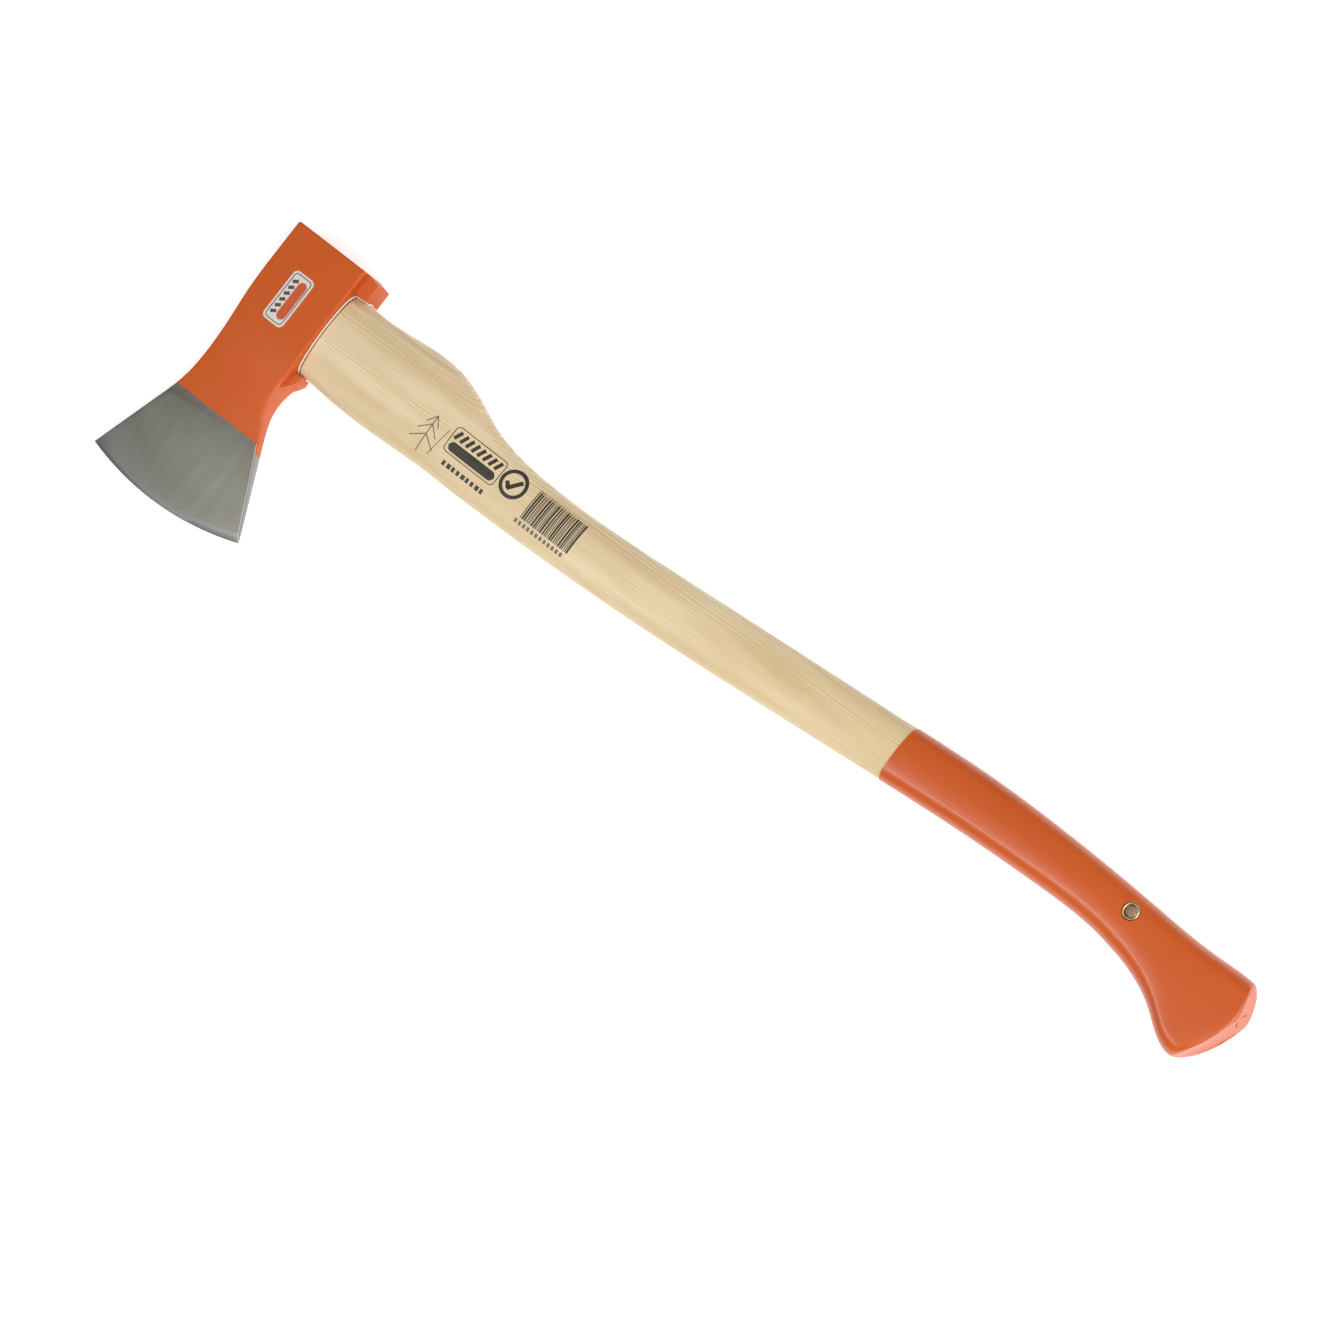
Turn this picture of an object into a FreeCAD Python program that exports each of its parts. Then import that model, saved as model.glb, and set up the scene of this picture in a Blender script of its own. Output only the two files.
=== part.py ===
import FreeCAD
import Part
import Sketcher
import math
import os

# A felling axe lying on its side. The model is drawn about the axe's own seat: x = 0 is the plane
# where the handle's shoulder meets the head and grows towards the knob, y = 0 is the middle of the
# eye and grows towards the poll, z = 0 is the plane that halves the axe. At the end every piece is
# shifted so that the origin lies under the middle of the whole axe, on the surface it rests on.

# ---------------------------------------------------------------- driving dimensions (mm)

HEAD_SIZES = {
    "eye_length": 61.3,           # hole for the handle, from bit side to poll side
    "eye_width": 23.0,            # its widest opening, cheek to cheek
    "eye_bit_ease": 5.0,          # how far the eye's sides bulge over its end circles: more is sharper
    "eye_poll_ease": 2.0,
    "head_depth": 56.0,           # steel around the eye, measured along the handle
    "head_thickness": 38.0,       # cheek to cheek
    "poll_wall": 15.05,           # steel between the eye and the poll face
    "forged_edge_round": 1.5,     # soft edges left by the forging, round the cheeks and the poll
    "cheek_flat_end": 13.7,       # the cheeks stay parallel to here, below the eye's middle
    "cheek_round": 124.0,         # then they turn in on this radius
    "cheek_hollow": 60.0,         # and run out into the blade on this one
    "grind_line": 81.2,           # where the ground blade starts
    "grind_half": 5.9,            # half of the blade's thickness there
    "bit_depth": 149.0,           # the cutting edge's furthest point from the eye's middle
    "blade_end_half": 1.7,        # half of the blade's thickness this far short of that point
    "blade_end_before": 6.3,
    "edge_round": 195.0,          # radius of the curved cutting edge
    "edge_centre": 29.0,          # where that curve's centre lies, ahead of the shoulder
    "toe_place": 80.5,            # upper corner of the edge, ahead of the shoulder
    "heel_place": 37.4,           # lower corner, behind the shoulder
    "bevel_toe": 2.4,             # width of the sharpened bevel at the toe,
    "bevel_middle": 4.2,          # in the middle of the edge
    "bevel_heel": 7.0,            # and at the heel
    "side_straight_end": 12.0,    # the head's upper side is straight down to here
    "waist_level": 36.0,          # narrowest place of the upper side
    "waist_inset": 2.65,
    "toe_sweep": 164.0,           # radius that carries it out to the toe
    "heel_waist_level": 49.0,     # narrowest place of the lower side
    "heel_waist_inset": 2.0,
    "heel_sweep": 42.0,
    "rear_lug_reach": 10.0,       # lug along the back of the handle
    "rear_lug_slope": 2.0,
    "rear_lug_width": 25.0,
    "front_lug_reach": 5.6,       # small lug under the handle's belly
    "front_lug_depth": 8.4,
    "front_lug_width": 17.0,
    "lug_gap": 0.4,
}

HANDLE_SIZES = {
    "handle_reach": 753.0,        # shoulder to the end of the knob
    "tongue_proud": 1.0,          # wood standing out of the head
    "tongue_clearance": 0.12,
    "shoulder_gap": 0.3,
    "shoulder_step": 4.0,         # the shoulder overhangs the eye by this much on each side
    "shoulder_chamfer": 1.5,
    "lug_land": 14.0,             # the handle keeps the eye's outline past the lugs
    "swell_place": 85.0,          # the protective swell at the back of the handle
    "swell_rise": 2.3,
    "swell_thick": 28.0,
    "end_round": 60.0,            # radius of the knob's end face
    "end_centre": 11.3,
    "coat_thickness": 0.5,
}

WEDGE_SIZES = {
    "kerf_depth": 40.0,           # saw cut in the tongue that the wooden wedge opens
    "wedge_depth": 37.0,
    "wedge_thick": 5.0,
    "wedge_tip": 1.2,
    "wedge_length": 54.0,
    "ring_place": 9.0,            # steel ring wedge, on the poll side of the eye's middle
    "ring_radius": 7.6,
    "ring_wall": 1.6,
    "ring_tip_wall": 0.5,
    "ring_depth": 24.0,
}

EYELET_SIZES = {
    "hole_from_end": 98.0,        # hanging hole, from the end of the knob
    "hole_level": 23.5,
    "hole_bore": 4.0,             # radius that a hook goes through
    "barrel_wall": 0.6,
    "barrel_clearance": 0.1,
    "flange_radius": 6.1,
    "flange_seat": 10.3,          # flat recess for the flange, from the middle plane
    "flange_thick": 0.9,
    "flange_bead": 0.45,
    "lip_radius": 5.6,            # the barrel's rolled end
    "recess_clearance": 0.2,
    "washer_thick": 0.7,
}

LABEL_SIZES = {
    "label_width": 16.4,
    "label_length": 36.4,
    "label_round": 3.6,
    "label_thick": 0.25,
    "label_place": 29.4,
    "label_level": 2.6,
}

# Cross sections of the handle. Each row gives where it is, the height of its middle, its width,
# its thickness and how far its sides bulge over the end circles on the bit and poll sides.
SHOULDER_SECTIONS = {             # places measured from the shoulder
    "swell_end": (105.4, -1.4, 57.0, 26.0, 2.5, 1.5),
    "scoop": (125.6, -5.5, 49.2, 24.5, 1.8, 1.3),
    "neck_start": (146.0, -7.9, 43.9, 23.5, 1.5, 1.3),
    "neck": (176.0, -8.9, 40.8, 23.0, 1.5, 1.5),
}
BELLY_SECTIONS = {                # places as shares of the way from the neck to the coat
    "belly_first": (1 / 3, -4.5, 40.3, 22.5, 1.3, 1.3),
    "belly_second": (2 / 3, 3.5, 40.6, 22.5, 1.3, 1.3),
}
GRIP_SECTIONS = {                 # places measured back from the end of the knob, over the coat
    "coat_start": (284.3, 12.2, 40.3, 23.0, 1.2, 1.2),
    "grip_front": (224.0, 17.0, 39.4, 23.5, 1.0, 1.0),
    "grip_middle": (163.0, 19.1, 37.0, 24.0, 1.0, 1.0),
    "wrist": (103.0, 17.6, 37.1, 24.0, 1.0, 1.0),
    "flare": (78.5, 14.3, 41.4, 24.2, 1.1, 1.1),
    "bow": (54.0, 8.5, 51.4, 24.6, 1.2, 1.2),
    "knob_side": (36.0, 2.7, 63.7, 25.0, 1.3, 1.3),
    "knob_low": (24.0, 1.4, 67.5, 25.0, 1.3, 1.3),
    "knob_turn": (12.0, 4.1, 62.4, 25.0, 1.3, 1.3),
    "knob_past": (-5.0, 11.6, 45.5, 25.0, 1.3, 1.3),
}
SECTION_FIELDS = ("place", "middle", "width", "thick", "bit_ease", "poll_ease")

CUTTER_MARGIN = 20.0              # how far cutting outlines run past the steel or wood they cut
LAP = 6.0                         # how far the lugs' outlines run into the head
BEVEL_CUT = "16.0"                # reach of the cutter that makes the bevels, each way from the edge
CUTTER_HEIGHT = "14.0"
BLANK_PAST = 1.0                  # the blank's blade runs this far past the edge
BEVEL_PAST = 4.0                  # how far that cutter runs past the toe and the heel
END_SPAN_COSINE = 0.34            # the knob's end curve is drawn 70 degrees each way
TOUCH = 1e-3                      # closer than this counts as lying on a plane or a curve


# ---------------------------------------------------------------- document, sheet and sketch helpers

doc = FreeCAD.newDocument("felling_axe")
sheet = doc.addObject("Spreadsheet::Sheet", "Sizes")


def fill_sheet():
    """Writes every driving dimension to its own cell and names the cell."""
    sizes = {}
    for group in (HEAD_SIZES, HANDLE_SIZES, WEDGE_SIZES, EYELET_SIZES, LABEL_SIZES):
        sizes.update(group)
    for sections in (SHOULDER_SECTIONS, BELLY_SECTIONS, GRIP_SECTIONS):
        for name, row in sections.items():
            for field, number in zip(SECTION_FIELDS, row):
                sizes[f"{name}_{field}"] = number
    for line, (alias, number) in enumerate(sizes.items(), start=1):
        sheet.set(f"A{line}", alias.replace("_", " "))
        sheet.set(f"B{line}", str(number))
        sheet.setAlias(f"B{line}", alias)
    doc.recompute()


def size(alias):
    """The expression that reads one cell of the sheet."""
    return f"Sizes.{alias}"


def number(expression):
    """What an expression comes to now, for a sketch's first guess."""
    return float(sheet.evalExpression(expression))


POLL_LEVEL = f"({size('eye_length')} / 2 + {size('poll_wall')})"
BLADE_END = f"({size('bit_depth')} - {size('blade_end_before')})"
HEAD_SPAN = f"({size('toe_place')} + {size('heel_place')})"
TOE_SWEEP_PLACE = f"({size('waist_inset')} - {size('head_depth')} - {size('toe_sweep')})"
HEEL_SWEEP_PLACE = f"({size('heel_sweep')} - {size('heel_waist_inset')})"
TONGUE_END = f"(-{size('head_depth')} - {size('tongue_proud')})"
END_CENTRE_PLACE = f"({size('handle_reach')} - {size('end_round')})"
HOLE_PLACE = f"({size('handle_reach')} - {size('hole_from_end')})"
BARREL_RADIUS = f"({size('hole_bore')} + {size('barrel_wall')})"
LIP_RADIUS = size("lip_radius")
FLANGE_SEAT = size("flange_seat")


def vector(x, y):
    return FreeCAD.Vector(x, y, 0)


def new_body(label):
    body = doc.addObject("PartDesign::Body", label)
    body.Label = label
    return body


def new_sketch(body, name, plane, offset=("0", "0", "0")):
    """A sketch on one of the body's origin planes, moved by three expressions in its own axes."""
    sketch = body.newObject("Sketcher::SketchObject", name)
    sketch.AttachmentSupport = [(origin_plane(body, plane), "")]
    sketch.MapMode = "FlatFace"
    for axis, expression in zip("xyz", offset):
        if expression != "0":
            sketch.setExpression(f"AttachmentOffset.Base.{axis}", expression)
    return sketch


def bind(sketch, name, kind, places, expression):
    """Adds a dimension that follows the sheet."""
    index = sketch.addConstraint(Sketcher.Constraint(kind, *places, number(expression)))
    sketch.renameConstraint(index, name)
    sketch.setExpression(f"Constraints.{name}", expression)


def join(sketch, kind, rows):
    """Adds one kind of constraint to each row of edges and ends."""
    for row in rows:
        sketch.addConstraint(Sketcher.Constraint(kind, *row))


def pin(sketch, name, edge, end, x=None, y=None):
    """Holds one point of a sketch at x and y, both given as expressions."""
    if x is not None:
        bind(sketch, name + "_x", "DistanceX", (-1, 1, edge, end), x)
    if y is not None:
        bind(sketch, name + "_y", "DistanceY", (-1, 1, edge, end), y)


def polygon(sketch, points, name="corner"):
    """A closed outline of straight lines through points given as pairs of expressions."""
    here = [vector(number(x), number(y)) for x, y in points]
    count = len(here)
    first = sketch.GeometryCount
    for i in range(count):
        sketch.addGeometry(Part.LineSegment(here[i], here[(i + 1) % count]), False)
    for i in range(count):
        sketch.addConstraint(
            Sketcher.Constraint("Coincident", first + i, 2, first + (i + 1) % count, 1)
        )
    for i, (x, y) in enumerate(points):
        pin(sketch, f"{name}_{first}_{i}", first + i, 1, x, y)


def origin_plane(body, role):
    return next(feature for feature in body.Origin.OriginFeatures if feature.Role == role)


def tangent_point(point, centre, radius, side):
    """Where a line from a point touches a circle: side is 1 or -1 for the two answers."""
    away = point - centre
    turn_by = side * math.acos(radius / away.Length)
    angle = math.atan2(away.y, away.x) + turn_by
    return centre + vector(math.cos(angle), math.sin(angle)) * radius


def cross_tangent(first, first_round, second, second_round):
    """Direction from the first circle's centre to where a line that crosses between them touches it."""
    away = second - first
    angle = math.atan2(away.y, away.x) - math.acos((first_round + second_round) / away.Length)
    return vector(math.cos(angle), math.sin(angle))


def arc(centre, radius, start, end):
    """An anticlockwise arc from one point to another."""
    turn = [math.atan2(point.y - centre.y, point.x - centre.x) for point in (start, end)]
    if turn[1] < turn[0]:
        turn[1] += 2 * math.pi
    return Part.ArcOfCircle(Part.Circle(centre, FreeCAD.Vector(0, 0, 1), radius), *turn)


def pad(body, name, sketch, length, side="Symmetric", reverse=False):
    feature = body.newObject("PartDesign::Pad", name)
    feature.Profile = sketch
    feature.SideType = side
    feature.Reversed = reverse
    feature.setExpression("Length", length)
    return feature


def cut_through(body, name, sketch, side="Symmetric", reverse=False):
    feature = body.newObject("PartDesign::Pocket", name)
    feature.Profile = sketch
    feature.Type = "ThroughAll"
    feature.SideType = side
    feature.Reversed = reverse
    return feature


def dress(body, kind, name, base, edges, expression):
    """A fillet or chamfer on some edges of a feature."""
    feature = body.newObject(f"PartDesign::{kind}", name)
    feature.Base = (base, edges)
    feature.setExpression("Radius" if kind == "Fillet" else "Size", expression)
    return feature


# ---------------------------------------------------------------- oval sections

def side_arc(half_width, half_thick, bit_round, poll_round):
    """Middle and radius of the arc that bulges to half_thick and touches both end circles."""
    left = -half_width + bit_round
    right = half_width - poll_round

    def reaches(radius):
        down = (half_thick - bit_round) * (2 * radius - bit_round - half_thick)
        up = (half_thick - poll_round) * (2 * radius - poll_round - half_thick)
        return math.sqrt(down), math.sqrt(up)

    low = half_thick
    high = 1e5
    while high - low > 1e-9 * high:
        radius = (low + high) / 2
        if sum(reaches(radius)) < right - left:
            low = radius
        else:
            high = radius
    return left + reaches(high)[0], high


def oval(sketch, width, thick, bit_ease, poll_ease):
    """A four-arc oval about the sketch's origin, its narrow end on the bit side."""
    half_width = number(width) / 2
    half_thick = number(thick) / 2
    bit_round = half_thick - number(bit_ease)
    poll_round = half_thick - number(poll_ease)
    middle, radius = side_arc(half_width, half_thick, bit_round, poll_round)
    bit = vector(-half_width + bit_round, 0)
    poll = vector(half_width - poll_round, 0)
    low_centre = vector(middle, half_thick - radius)
    high_centre = vector(middle, radius - half_thick)
    bit_top = low_centre + (bit - low_centre).normalize() * radius
    poll_top = low_centre + (poll - low_centre).normalize() * radius
    bit_low = vector(bit_top.x, -bit_top.y)
    poll_low = vector(poll_top.x, -poll_top.y)
    sketch.addGeometry(
        [
            arc(low_centre, radius, poll_top, bit_top),
            arc(bit, bit_round, bit_top, bit_low),
            arc(high_centre, radius, bit_low, poll_low),
            arc(poll, poll_round, poll_low, poll_top),
        ],
        False,
    )
    for i in range(4):
        sketch.addConstraint(Sketcher.Constraint("Tangent", i, 2, (i + 1) % 4, 1))
    sketch.addConstraint(Sketcher.Constraint("PointOnObject", 1, 3, -1))
    sketch.addConstraint(Sketcher.Constraint("PointOnObject", 3, 3, -1))
    sketch.addConstraint(Sketcher.Constraint("Equal", 0, 2))
    bind(sketch, "bit_round", "Radius", (1,), f"{thick} / 2 - {bit_ease}")
    bind(sketch, "poll_round", "Radius", (3,), f"{thick} / 2 - {poll_ease}")
    pin(sketch, "bit_centre", 1, 3, x=f"{thick} / 2 - {bit_ease} - {width} / 2")
    pin(sketch, "poll_centre", 3, 3, x=f"{width} / 2 - ({thick} / 2 - {poll_ease})")
    top = sketch.addGeometry(Part.Point(vector(middle, half_thick)), True)
    sketch.addConstraint(Sketcher.Constraint("PointOnObject", top, 1, 0))
    sketch.addConstraint(Sketcher.Constraint("Vertical", top, 1, 0, 3))
    bind(sketch, "bulge", "DistanceY", (-1, 1, top, 1), f"{thick} / 2")


def section(body, name, place, middle, width, thick, bit_ease, poll_ease):
    """An oval across the handle, all its sizes given as expressions."""
    sketch = new_sketch(body, name, "YZ_Plane", (middle, "0", place))
    oval(sketch, width, thick, bit_ease, poll_ease)
    return sketch


def loft(body, name, sketches, kind="AdditiveLoft"):
    feature = body.newObject(f"PartDesign::{kind}", name)
    feature.Profile = sketches[0]
    feature.Sections = sketches[1:]
    return feature


# ---------------------------------------------------------------- the head

def edge_level(place):
    """Height of the cutting edge at a place along the axe, as an expression."""
    across = f"({place} + {size('edge_centre')})"
    sag = f"sqrt({size('edge_round')} * {size('edge_round')} - {across} * {across})"
    return f"({size('edge_round')} - {size('bit_depth')} - {sag})"


def cheek_outline(body):
    """Upper half of the head seen along the handle: flat cheek, hollow taper, ground blade."""
    sketch = new_sketch(body, "cheek_outline", "YZ_Plane")
    half = number(size("head_thickness")) / 2
    poll = number(POLL_LEVEL)
    tip_level = -number(size("bit_depth")) - BLANK_PAST
    ground = vector(-number(size("grind_line")), number(size("grind_half")))
    blade = vector(-number(BLADE_END), number(size("blade_end_half")))
    slope = (ground.y - blade.y) / (ground.x - blade.x)
    tip = vector(tip_level, blade.y + slope * (tip_level - blade.x))
    flat_end = vector(-number(size("cheek_flat_end")), half)
    cheek_round = number(size("cheek_round"))
    hollow = number(size("cheek_hollow"))
    round_centre = flat_end - vector(0, cheek_round)
    hollow_centre = ground + vector(-slope, 1).normalize() * hollow
    lean = cross_tangent(round_centre, cheek_round, hollow_centre, hollow)
    round_end = round_centre + lean * cheek_round
    hollow_start = hollow_centre - lean * hollow
    sketch.addGeometry(
        [
            Part.LineSegment(vector(poll, half), flat_end),
            arc(round_centre, cheek_round, flat_end, round_end),
            Part.LineSegment(round_end, hollow_start),
            arc(hollow_centre, hollow, ground, hollow_start),
            Part.LineSegment(ground, tip),
            Part.LineSegment(tip, vector(tip.x, 0)),
            Part.LineSegment(vector(tip.x, 0), vector(poll, 0)),
            Part.LineSegment(vector(poll, 0), vector(poll, half)),
        ],
        False,
    )
    join(sketch, "Tangent", [(0, 2, 1, 1), (1, 2, 2, 1), (2, 2, 3, 2), (3, 1, 4, 1)])
    join(sketch, "Coincident", [(4, 2, 5, 1), (5, 2, 6, 1), (6, 2, 7, 1), (7, 2, 0, 1)])
    join(sketch, "Horizontal", [(0,), (6,)])
    join(sketch, "Vertical", [(5,), (7,)])
    bind(sketch, "cheek_round", "Radius", (1,), size("cheek_round"))
    bind(sketch, "cheek_hollow", "Radius", (3,), size("cheek_hollow"))
    pin(sketch, "poll_corner", 0, 1, x=POLL_LEVEL, y=f"{size('head_thickness')} / 2")
    pin(sketch, "flat_end", 0, 2, x=f"-{size('cheek_flat_end')}")
    pin(sketch, "ground", 4, 1, x=f"-{size('grind_line')}", y=size("grind_half"))
    pin(sketch, "tip", 4, 2, x=f"-{size('bit_depth')} - {BLANK_PAST}")
    pin(sketch, "middle", 6, 1, y="0")
    blade_point = sketch.addGeometry(Part.Point(blade), True)
    join(sketch, "PointOnObject", [(blade_point, 1, 4)])
    pin(sketch, "blade", blade_point, 1, x=f"-{BLADE_END}", y=size("blade_end_half"))
    return sketch


def side_outline(body):
    """The head seen from its side, as the hole in a frame that is cut away around it."""
    sketch = new_sketch(body, "side_outline", "XY_Plane")
    depth = number(size("head_depth"))
    poll = number(POLL_LEVEL)
    toe_sweep = number(size("toe_sweep"))
    toe_centre = vector(number(TOE_SWEEP_PLACE), -number(size("waist_level")))
    straight_end = vector(-depth, number(size("side_straight_end")))
    rise = straight_end.y - toe_centre.y
    inset = number(size("waist_inset"))
    upper_round = (rise * rise - inset * (2 * toe_sweep - inset)) / (2 * inset)
    upper_centre = straight_end + vector(upper_round, 0)
    upper_end = toe_centre + (upper_centre - toe_centre).normalize() * toe_sweep
    toe = vector(-number(size("toe_place")), number(edge_level(f"(-{size('toe_place')})")))
    heel = vector(number(size("heel_place")), number(edge_level(size("heel_place"))))
    toe_line = tangent_point(toe, toe_centre, toe_sweep, 1)
    heel_sweep = number(size("heel_sweep"))
    heel_centre = vector(number(HEEL_SWEEP_PLACE), -number(size("heel_waist_level")))
    heel_line = tangent_point(heel, heel_centre, heel_sweep, -1)
    heel_rise = math.sqrt(heel_sweep**2 - heel_centre.x**2)
    heel_start = vector(0, heel_centre.y + heel_rise)
    edge_round = number(size("edge_round"))
    edge_centre = vector(-number(size("edge_centre")), edge_round - number(size("bit_depth")))
    sketch.addGeometry(
        [
            Part.LineSegment(vector(-depth, poll), straight_end),
            arc(upper_centre, upper_round, straight_end, upper_end),
            arc(toe_centre, toe_sweep, toe_line, upper_end),
            Part.LineSegment(toe_line, toe),
            arc(edge_centre, edge_round, toe, heel),
            Part.LineSegment(heel, heel_line),
            arc(heel_centre, heel_sweep, heel_start, heel_line),
            Part.LineSegment(heel_start, vector(0, poll)),
            Part.LineSegment(vector(0, poll), vector(-depth, poll)),
        ],
        False,
    )
    join(sketch, "Tangent", [(0, 2, 1, 1), (1, 2, 2, 2), (2, 1, 3, 1), (5, 2, 6, 2)])
    join(sketch, "Coincident", [(3, 2, 4, 1), (4, 2, 5, 1), (6, 1, 7, 1), (7, 2, 8, 1), (8, 2, 0, 1)])
    join(sketch, "Vertical", [(0,), (7,)])
    join(sketch, "Horizontal", [(8,)])
    pin(sketch, "poll_top", 0, 1, x=f"-{size('head_depth')}", y=POLL_LEVEL)
    pin(sketch, "poll_low", 7, 2, x="0")
    pin(sketch, "straight_end", 0, 2, y=size("side_straight_end"))
    bind(sketch, "toe_sweep", "Radius", (2,), size("toe_sweep"))
    pin(sketch, "toe_centre", 2, 3, x=TOE_SWEEP_PLACE, y=f"-{size('waist_level')}")
    bind(sketch, "edge_round", "Radius", (4,), size("edge_round"))
    edge_height = f"{size('edge_round')} - {size('bit_depth')}"
    pin(sketch, "edge_centre", 4, 3, x=f"-{size('edge_centre')}", y=edge_height)
    pin(sketch, "toe", 3, 2, x=f"-{size('toe_place')}")
    pin(sketch, "heel", 5, 1, x=size("heel_place"))
    bind(sketch, "heel_sweep", "Radius", (6,), size("heel_sweep"))
    pin(sketch, "heel_centre", 6, 3, x=HEEL_SWEEP_PLACE, y=f"-{size('heel_waist_level')}")
    right = f"({HEAD_SPAN} + {CUTTER_MARGIN})"
    low = f"-{size('bit_depth')} - {CUTTER_MARGIN}"
    high = f"{POLL_LEVEL} + {CUTTER_MARGIN}"
    polygon(sketch, [(f"-{right}", low), (right, low), (right, high), (f"-{right}", high)], "frame")
    return sketch


def rear_lug_outline(body):
    sketch = new_sketch(body, "rear_lug_outline", "XY_Plane")
    inner = f"{size('eye_length')} / 2 + {size('lug_gap')}"
    outer = f"{POLL_LEVEL} - {size('rear_lug_slope')}"
    reach = size("rear_lug_reach")
    points = [(f"-{LAP}", inner), (reach, inner), (reach, outer), ("0", POLL_LEVEL), (f"-{LAP}", POLL_LEVEL)]
    polygon(sketch, points)
    return sketch


def front_lug_outline(body):
    """A beak under the handle's belly that sweeps into the waist of the heel side."""
    sketch = new_sketch(body, "front_lug_outline", "XY_Plane")
    inner = f"-{size('eye_length')} / 2 - {size('lug_gap')}"
    reach = size("front_lug_reach")
    beak = f"{inner} - {size('front_lug_depth')} / 2"
    chin = f"{inner} - {size('front_lug_depth')}"
    waist = f"-{size('heel_waist_level')}"
    points = [(f"-{LAP}", inner), (reach, inner), (reach, beak), (f"{reach} / 2", chin), (f"-{LAP}", waist)]
    polygon(sketch, points)
    return sketch


def bevel_outline(body, name, place, width):
    """What is cut away across the edge at one place: everything outside a V as wide as the bevel."""
    level = edge_level(place)
    fall = f"({size('grind_half')} - {size('blade_end_half')}) / ({BLADE_END} - {size('grind_line')})"
    thick = f"({size('blade_end_half')} + ({level} + {width} + {BLADE_END}) * {fall})"
    high = f"{BEVEL_CUT} * {thick} / ({width})"
    sketch = new_sketch(body, name, "YZ_Plane", (level, "0", place))
    corners = [
        ("0", "0"),
        (BEVEL_CUT, high),
        (BEVEL_CUT, CUTTER_HEIGHT),
        (f"-{BEVEL_CUT}", CUTTER_HEIGHT),
        (f"-{BEVEL_CUT}", f"-{CUTTER_HEIGHT}"),
        (BEVEL_CUT, f"-{CUTTER_HEIGHT}"),
        (BEVEL_CUT, f"-({high})"),
    ]
    polygon(sketch, corners)
    return sketch


def forged_edges(feature):
    """Names of the edges round both cheeks above the ground blade, and round the poll face."""
    poll = number(POLL_LEVEL)
    ground = -number(size("grind_line"))
    blade = number(size("grind_half")) - TOUCH
    names = []
    for i, edge in enumerate(feature.Shape.Edges, start=1):
        box = edge.BoundBox
        on_cheek = box.YMin > ground - TOUCH and (box.ZMin > blade or box.ZMax < -blade)
        if on_cheek or box.YMin > poll - TOUCH:
            names.append(f"Edge{i}")
    return names


def build_head():
    body = new_body("axe_head")
    blank = pad(body, "blank", cheek_outline(body), f"2 * {HEAD_SPAN}")
    doc.recompute()
    whole = body.newObject("PartDesign::Mirrored", "both_cheeks")
    whole.Originals = [blank]
    whole.MirrorPlane = (origin_plane(body, "XY_Plane"), [""])
    body.Tip = whole
    cut_through(body, "side_cut", side_outline(body))
    doc.recompute()
    shaped = body.Tip
    dress(body, "Fillet", "forged_edges", shaped, forged_edges(shaped), size("forged_edge_round"))
    pad(body, "rear_lug", rear_lug_outline(body), size("rear_lug_width"))
    pad(body, "front_lug", front_lug_outline(body), size("front_lug_width"))
    eye = new_sketch(body, "eye_outline", "YZ_Plane")
    oval(eye, size("eye_length"), size("eye_width"), size("eye_bit_ease"), size("eye_poll_ease"))
    cut_through(body, "eye", eye)
    toe = f"(-{size('toe_place')} - {BEVEL_PAST})"
    middle = f"(-{size('edge_centre')})"
    heel = f"({size('heel_place')} + {BEVEL_PAST})"
    upper_half = f"({size('bevel_toe')} + {size('bevel_middle')}) / 2"
    lower_half = f"({size('bevel_middle')} + {size('bevel_heel')}) / 2"
    outlines = [
        bevel_outline(body, "bevel_toe_cut", toe, size("bevel_toe")),
        bevel_outline(body, "bevel_upper_cut", f"(({toe} + {middle}) / 2)", f"({upper_half})"),
        bevel_outline(body, "bevel_middle_cut", middle, size("bevel_middle")),
        bevel_outline(body, "bevel_lower_cut", f"(({heel} + {middle}) / 2)", f"({lower_half})"),
        bevel_outline(body, "bevel_heel_cut", heel, size("bevel_heel")),
    ]
    loft(body, "bevels", outlines, "SubtractiveLoft")
    doc.recompute()
    return body


# ---------------------------------------------------------------- the handle

def stations():
    """The handle's sections from the shoulder to past the knob, each a dict of expressions."""
    eye = size("eye_length")
    shoulder = {
        "middle": "0",
        "width": eye,
        "thick": f"({size('eye_width')} + 2 * {size('shoulder_step')})",
        "bit_ease": f"{size('eye_bit_ease')}",
        "poll_ease": f"{size('eye_poll_ease')}",
    }
    shoulder_place = f"({size('shoulder_gap')} + {size('shoulder_chamfer')})"
    rows = [dict(shoulder, name="shoulder", place=shoulder_place, coated=False)]
    rows.append(dict(shoulder, name="lug_land", place=size("lug_land"), coated=False))
    rows.append(dict(shoulder, name="swell", place=size("swell_place"), coated=False))
    rows[-1]["width"] = f"({eye} + {size('swell_rise')})"
    rows[-1]["middle"] = f"{size('swell_rise')} / 2"
    rows[-1]["thick"] = size("swell_thick")
    for name in SHOULDER_SECTIONS:
        rows.append(station(name, size(f"{name}_place"), False))
    neck = size("neck_place")
    coat = f"({size('handle_reach')} - {size('coat_start_place')})"
    for name in BELLY_SECTIONS:
        rows.append(station(name, f"({neck} + {size(name + '_place')} * ({coat} - {neck}))", False))
    for name in GRIP_SECTIONS:
        rows.append(station(name, f"({size('handle_reach')} - {size(name + '_place')})", True))
    return rows


def station(name, place, coated):
    row = {field: size(f"{name}_{field}") for field in SECTION_FIELDS[1:]}
    return dict(row, name=name, place=place, coated=coated)


def station_section(body, row, grow):
    """One station's oval with its skin moved out by grow, an expression."""
    return section(
        body,
        f"{row['name']}_section",
        row["place"],
        row["middle"],
        f"({row['width']} + 2 * {grow})",
        f"({row['thick']} + 2 * {grow})",
        row["bit_ease"],
        row["poll_ease"],
    )


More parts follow.
